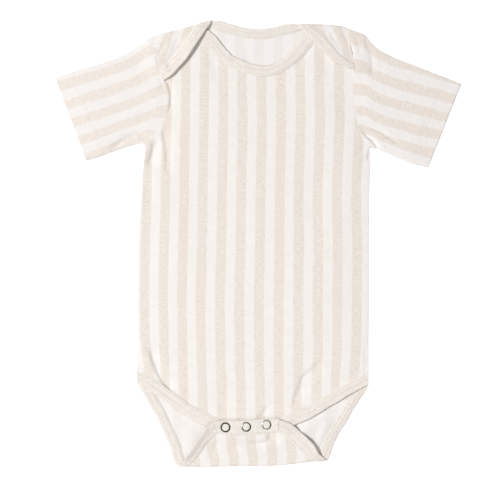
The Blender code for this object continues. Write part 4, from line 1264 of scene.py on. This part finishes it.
band_back, band_back_lines, band_grid, band_normal, band_half = binding(
    "crotch_band_back", with_q(BACK_BAND), on_back, band_shape, spacing=0.8, flip=False, stitched=(-1,), groove=0.16,
    rows=(0.10, 0.58), seed=5.2, fractions=BAND_ACROSS
)
band_front, band_front_lines, *_ = binding(
    "crotch_band_front", with_q(FRONT_BAND), on_front, None, spacing=1.2, flip=False, stitched=(1,), groove=0.2,
    rows=(0.12, 0.88), seed=5.9
)

stitches = {
    "neck_front": stitch_rows("neck_binding_front_stitches", neck_front_lines),
    "neck_back": stitch_rows("neck_binding_back_stitches", neck_back_lines),
    "leg_front_left": stitch_rows("leg_binding_front_left_stitches", leg_front_left_lines),
    "leg_front_right": stitch_rows("leg_binding_front_right_stitches", leg_front_right_lines),
    "leg_back_left": stitch_rows("leg_binding_back_left_stitches", leg_back_left_lines),
    "leg_back_right": stitch_rows("leg_binding_back_right_stitches", leg_back_right_lines),
    "band_back": stitch_rows("crotch_band_back_stitches", band_back_lines, r=0.2),
    "band_front": stitch_rows("crotch_band_front_stitches", band_front_lines, r=0.2),
}

# rings sit on the band
band_top = (band_grid - band_normal * band_half[..., None]).reshape(-1, 3)
# painted dark reflection per ring: all over on the first, towards the right-hand side on the second and third
for i, (sx, sy, tilt, painted_reflection) in enumerate(
    [
        (SNAPS["x"][0], SNAPS["y"][0], (0.02, 0.0), (1.0, 0.0, 0.0, 1.0)),
        (SNAPS["x"][1], SNAPS["y"][1], (0.0, 0.0), (0.45, 0.55, math.radians(-35), 1.5)),
        (SNAPS["x"][2], SNAPS["y"][2], (0.0, 0.0), (0.30, 0.55, math.radians(-10), 0.9)),
    ],
    1,
):
    r = np.hypot(band_top[:, 0] - sx, band_top[:, 1] - sy)
    under = band_top[(r > 3.6) & (r < 5.6)]
    plane, *_ = np.linalg.lstsq(np.c_[under[:, 0] - sx, under[:, 1] - sy, np.ones(len(under))], under[:, 2], rcond=None)
    snap_ring(i, sx, sy, plane[2] + 0.12, (plane[0] + tilt[0], plane[1] + tilt[1]), painted_reflection)

for name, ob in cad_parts.items():
    if name.startswith(("snap_core", "snap_inner")):
        for slot in ob.material_slots:
            slot.material = STEEL


# ---- floor, light, camera ----------------------------------------------------------------------------------------
def floor():
    mesh = bpy.data.meshes.new("floor")
    mesh.from_pydata([(-4, -4, 0), (4, -4, 0), (4, 4, 0), (-4, 4, 0)], [], [(0, 1, 2, 3)])
    ob = bpy.data.objects.new("floor", mesh)
    bpy.context.scene.collection.objects.link(ob)
    material = bpy.data.materials.new("pale_floor")
    material.use_nodes = True
    s = material.node_tree.nodes["Principled BSDF"].inputs
    s["Base Color"].default_value = (0.30, 0.30, 0.30, 1.0)
    s["Roughness"].default_value = 1.0
    s["Specular IOR Level"].default_value = 0.0
    s["Emission Color"].default_value = (1.0, 1.0, 1.0, 1.0)
    s["Emission Strength"].default_value = 0.88
    mesh.materials.append(material)
    return ob


def aim(ob, target):
    way = np.array(target) - np.array(ob.location)
    ob.rotation_mode = "XYZ"
    flat = math.hypot(way[0], way[1])
    ob.rotation_euler = (math.atan2(flat, -way[2]), 0.0, math.atan2(-way[0], way[1]))


def lights():
    world = bpy.data.worlds.new("studio")
    world.use_nodes = True
    back_light = world.node_tree.nodes["Background"].inputs
    back_light["Color"].default_value = (1.0, 1.0, 1.0, 1.0)
    back_light["Strength"].default_value = 0.345
    bpy.context.scene.world = world
    for name, turn, height, far, wide, power in (("key", 166, 50, 4.4, 0.75, 162.5), ("fill", -80, 55, 1.3, 0.9, 3.4)):
        data = bpy.data.lights.new(name, "AREA")
        data.shape = "DISK"
        data.size = wide
        data.energy = power
        ob = bpy.data.objects.new(name, data)
        a, b = math.radians(turn), math.radians(height)
        ob.location = (far * math.cos(b) * math.cos(a), far * math.cos(b) * math.sin(a), far * math.sin(b))
        aim(ob, (0, 0, 0))
        bpy.context.scene.collection.objects.link(ob)


def camera():
    data = bpy.data.cameras.new("camera")
    data.lens, data.sensor_width = 100.0, 36.0
    data.clip_start, data.clip_end = 0.05, 50.0
    ob = bpy.data.objects.new("camera", data)
    ob.location = ((250 - 258 - 0.016) * MM, (244 - 250 - 0.449) * MM, 1.392)
    bpy.context.scene.collection.objects.link(ob)
    bpy.context.scene.camera = ob


floor()
lights()
camera()
view = bpy.context.scene.view_settings
view.view_transform = "Standard"
view.look = "None"
view.exposure, view.gamma = 0.0, 1.0
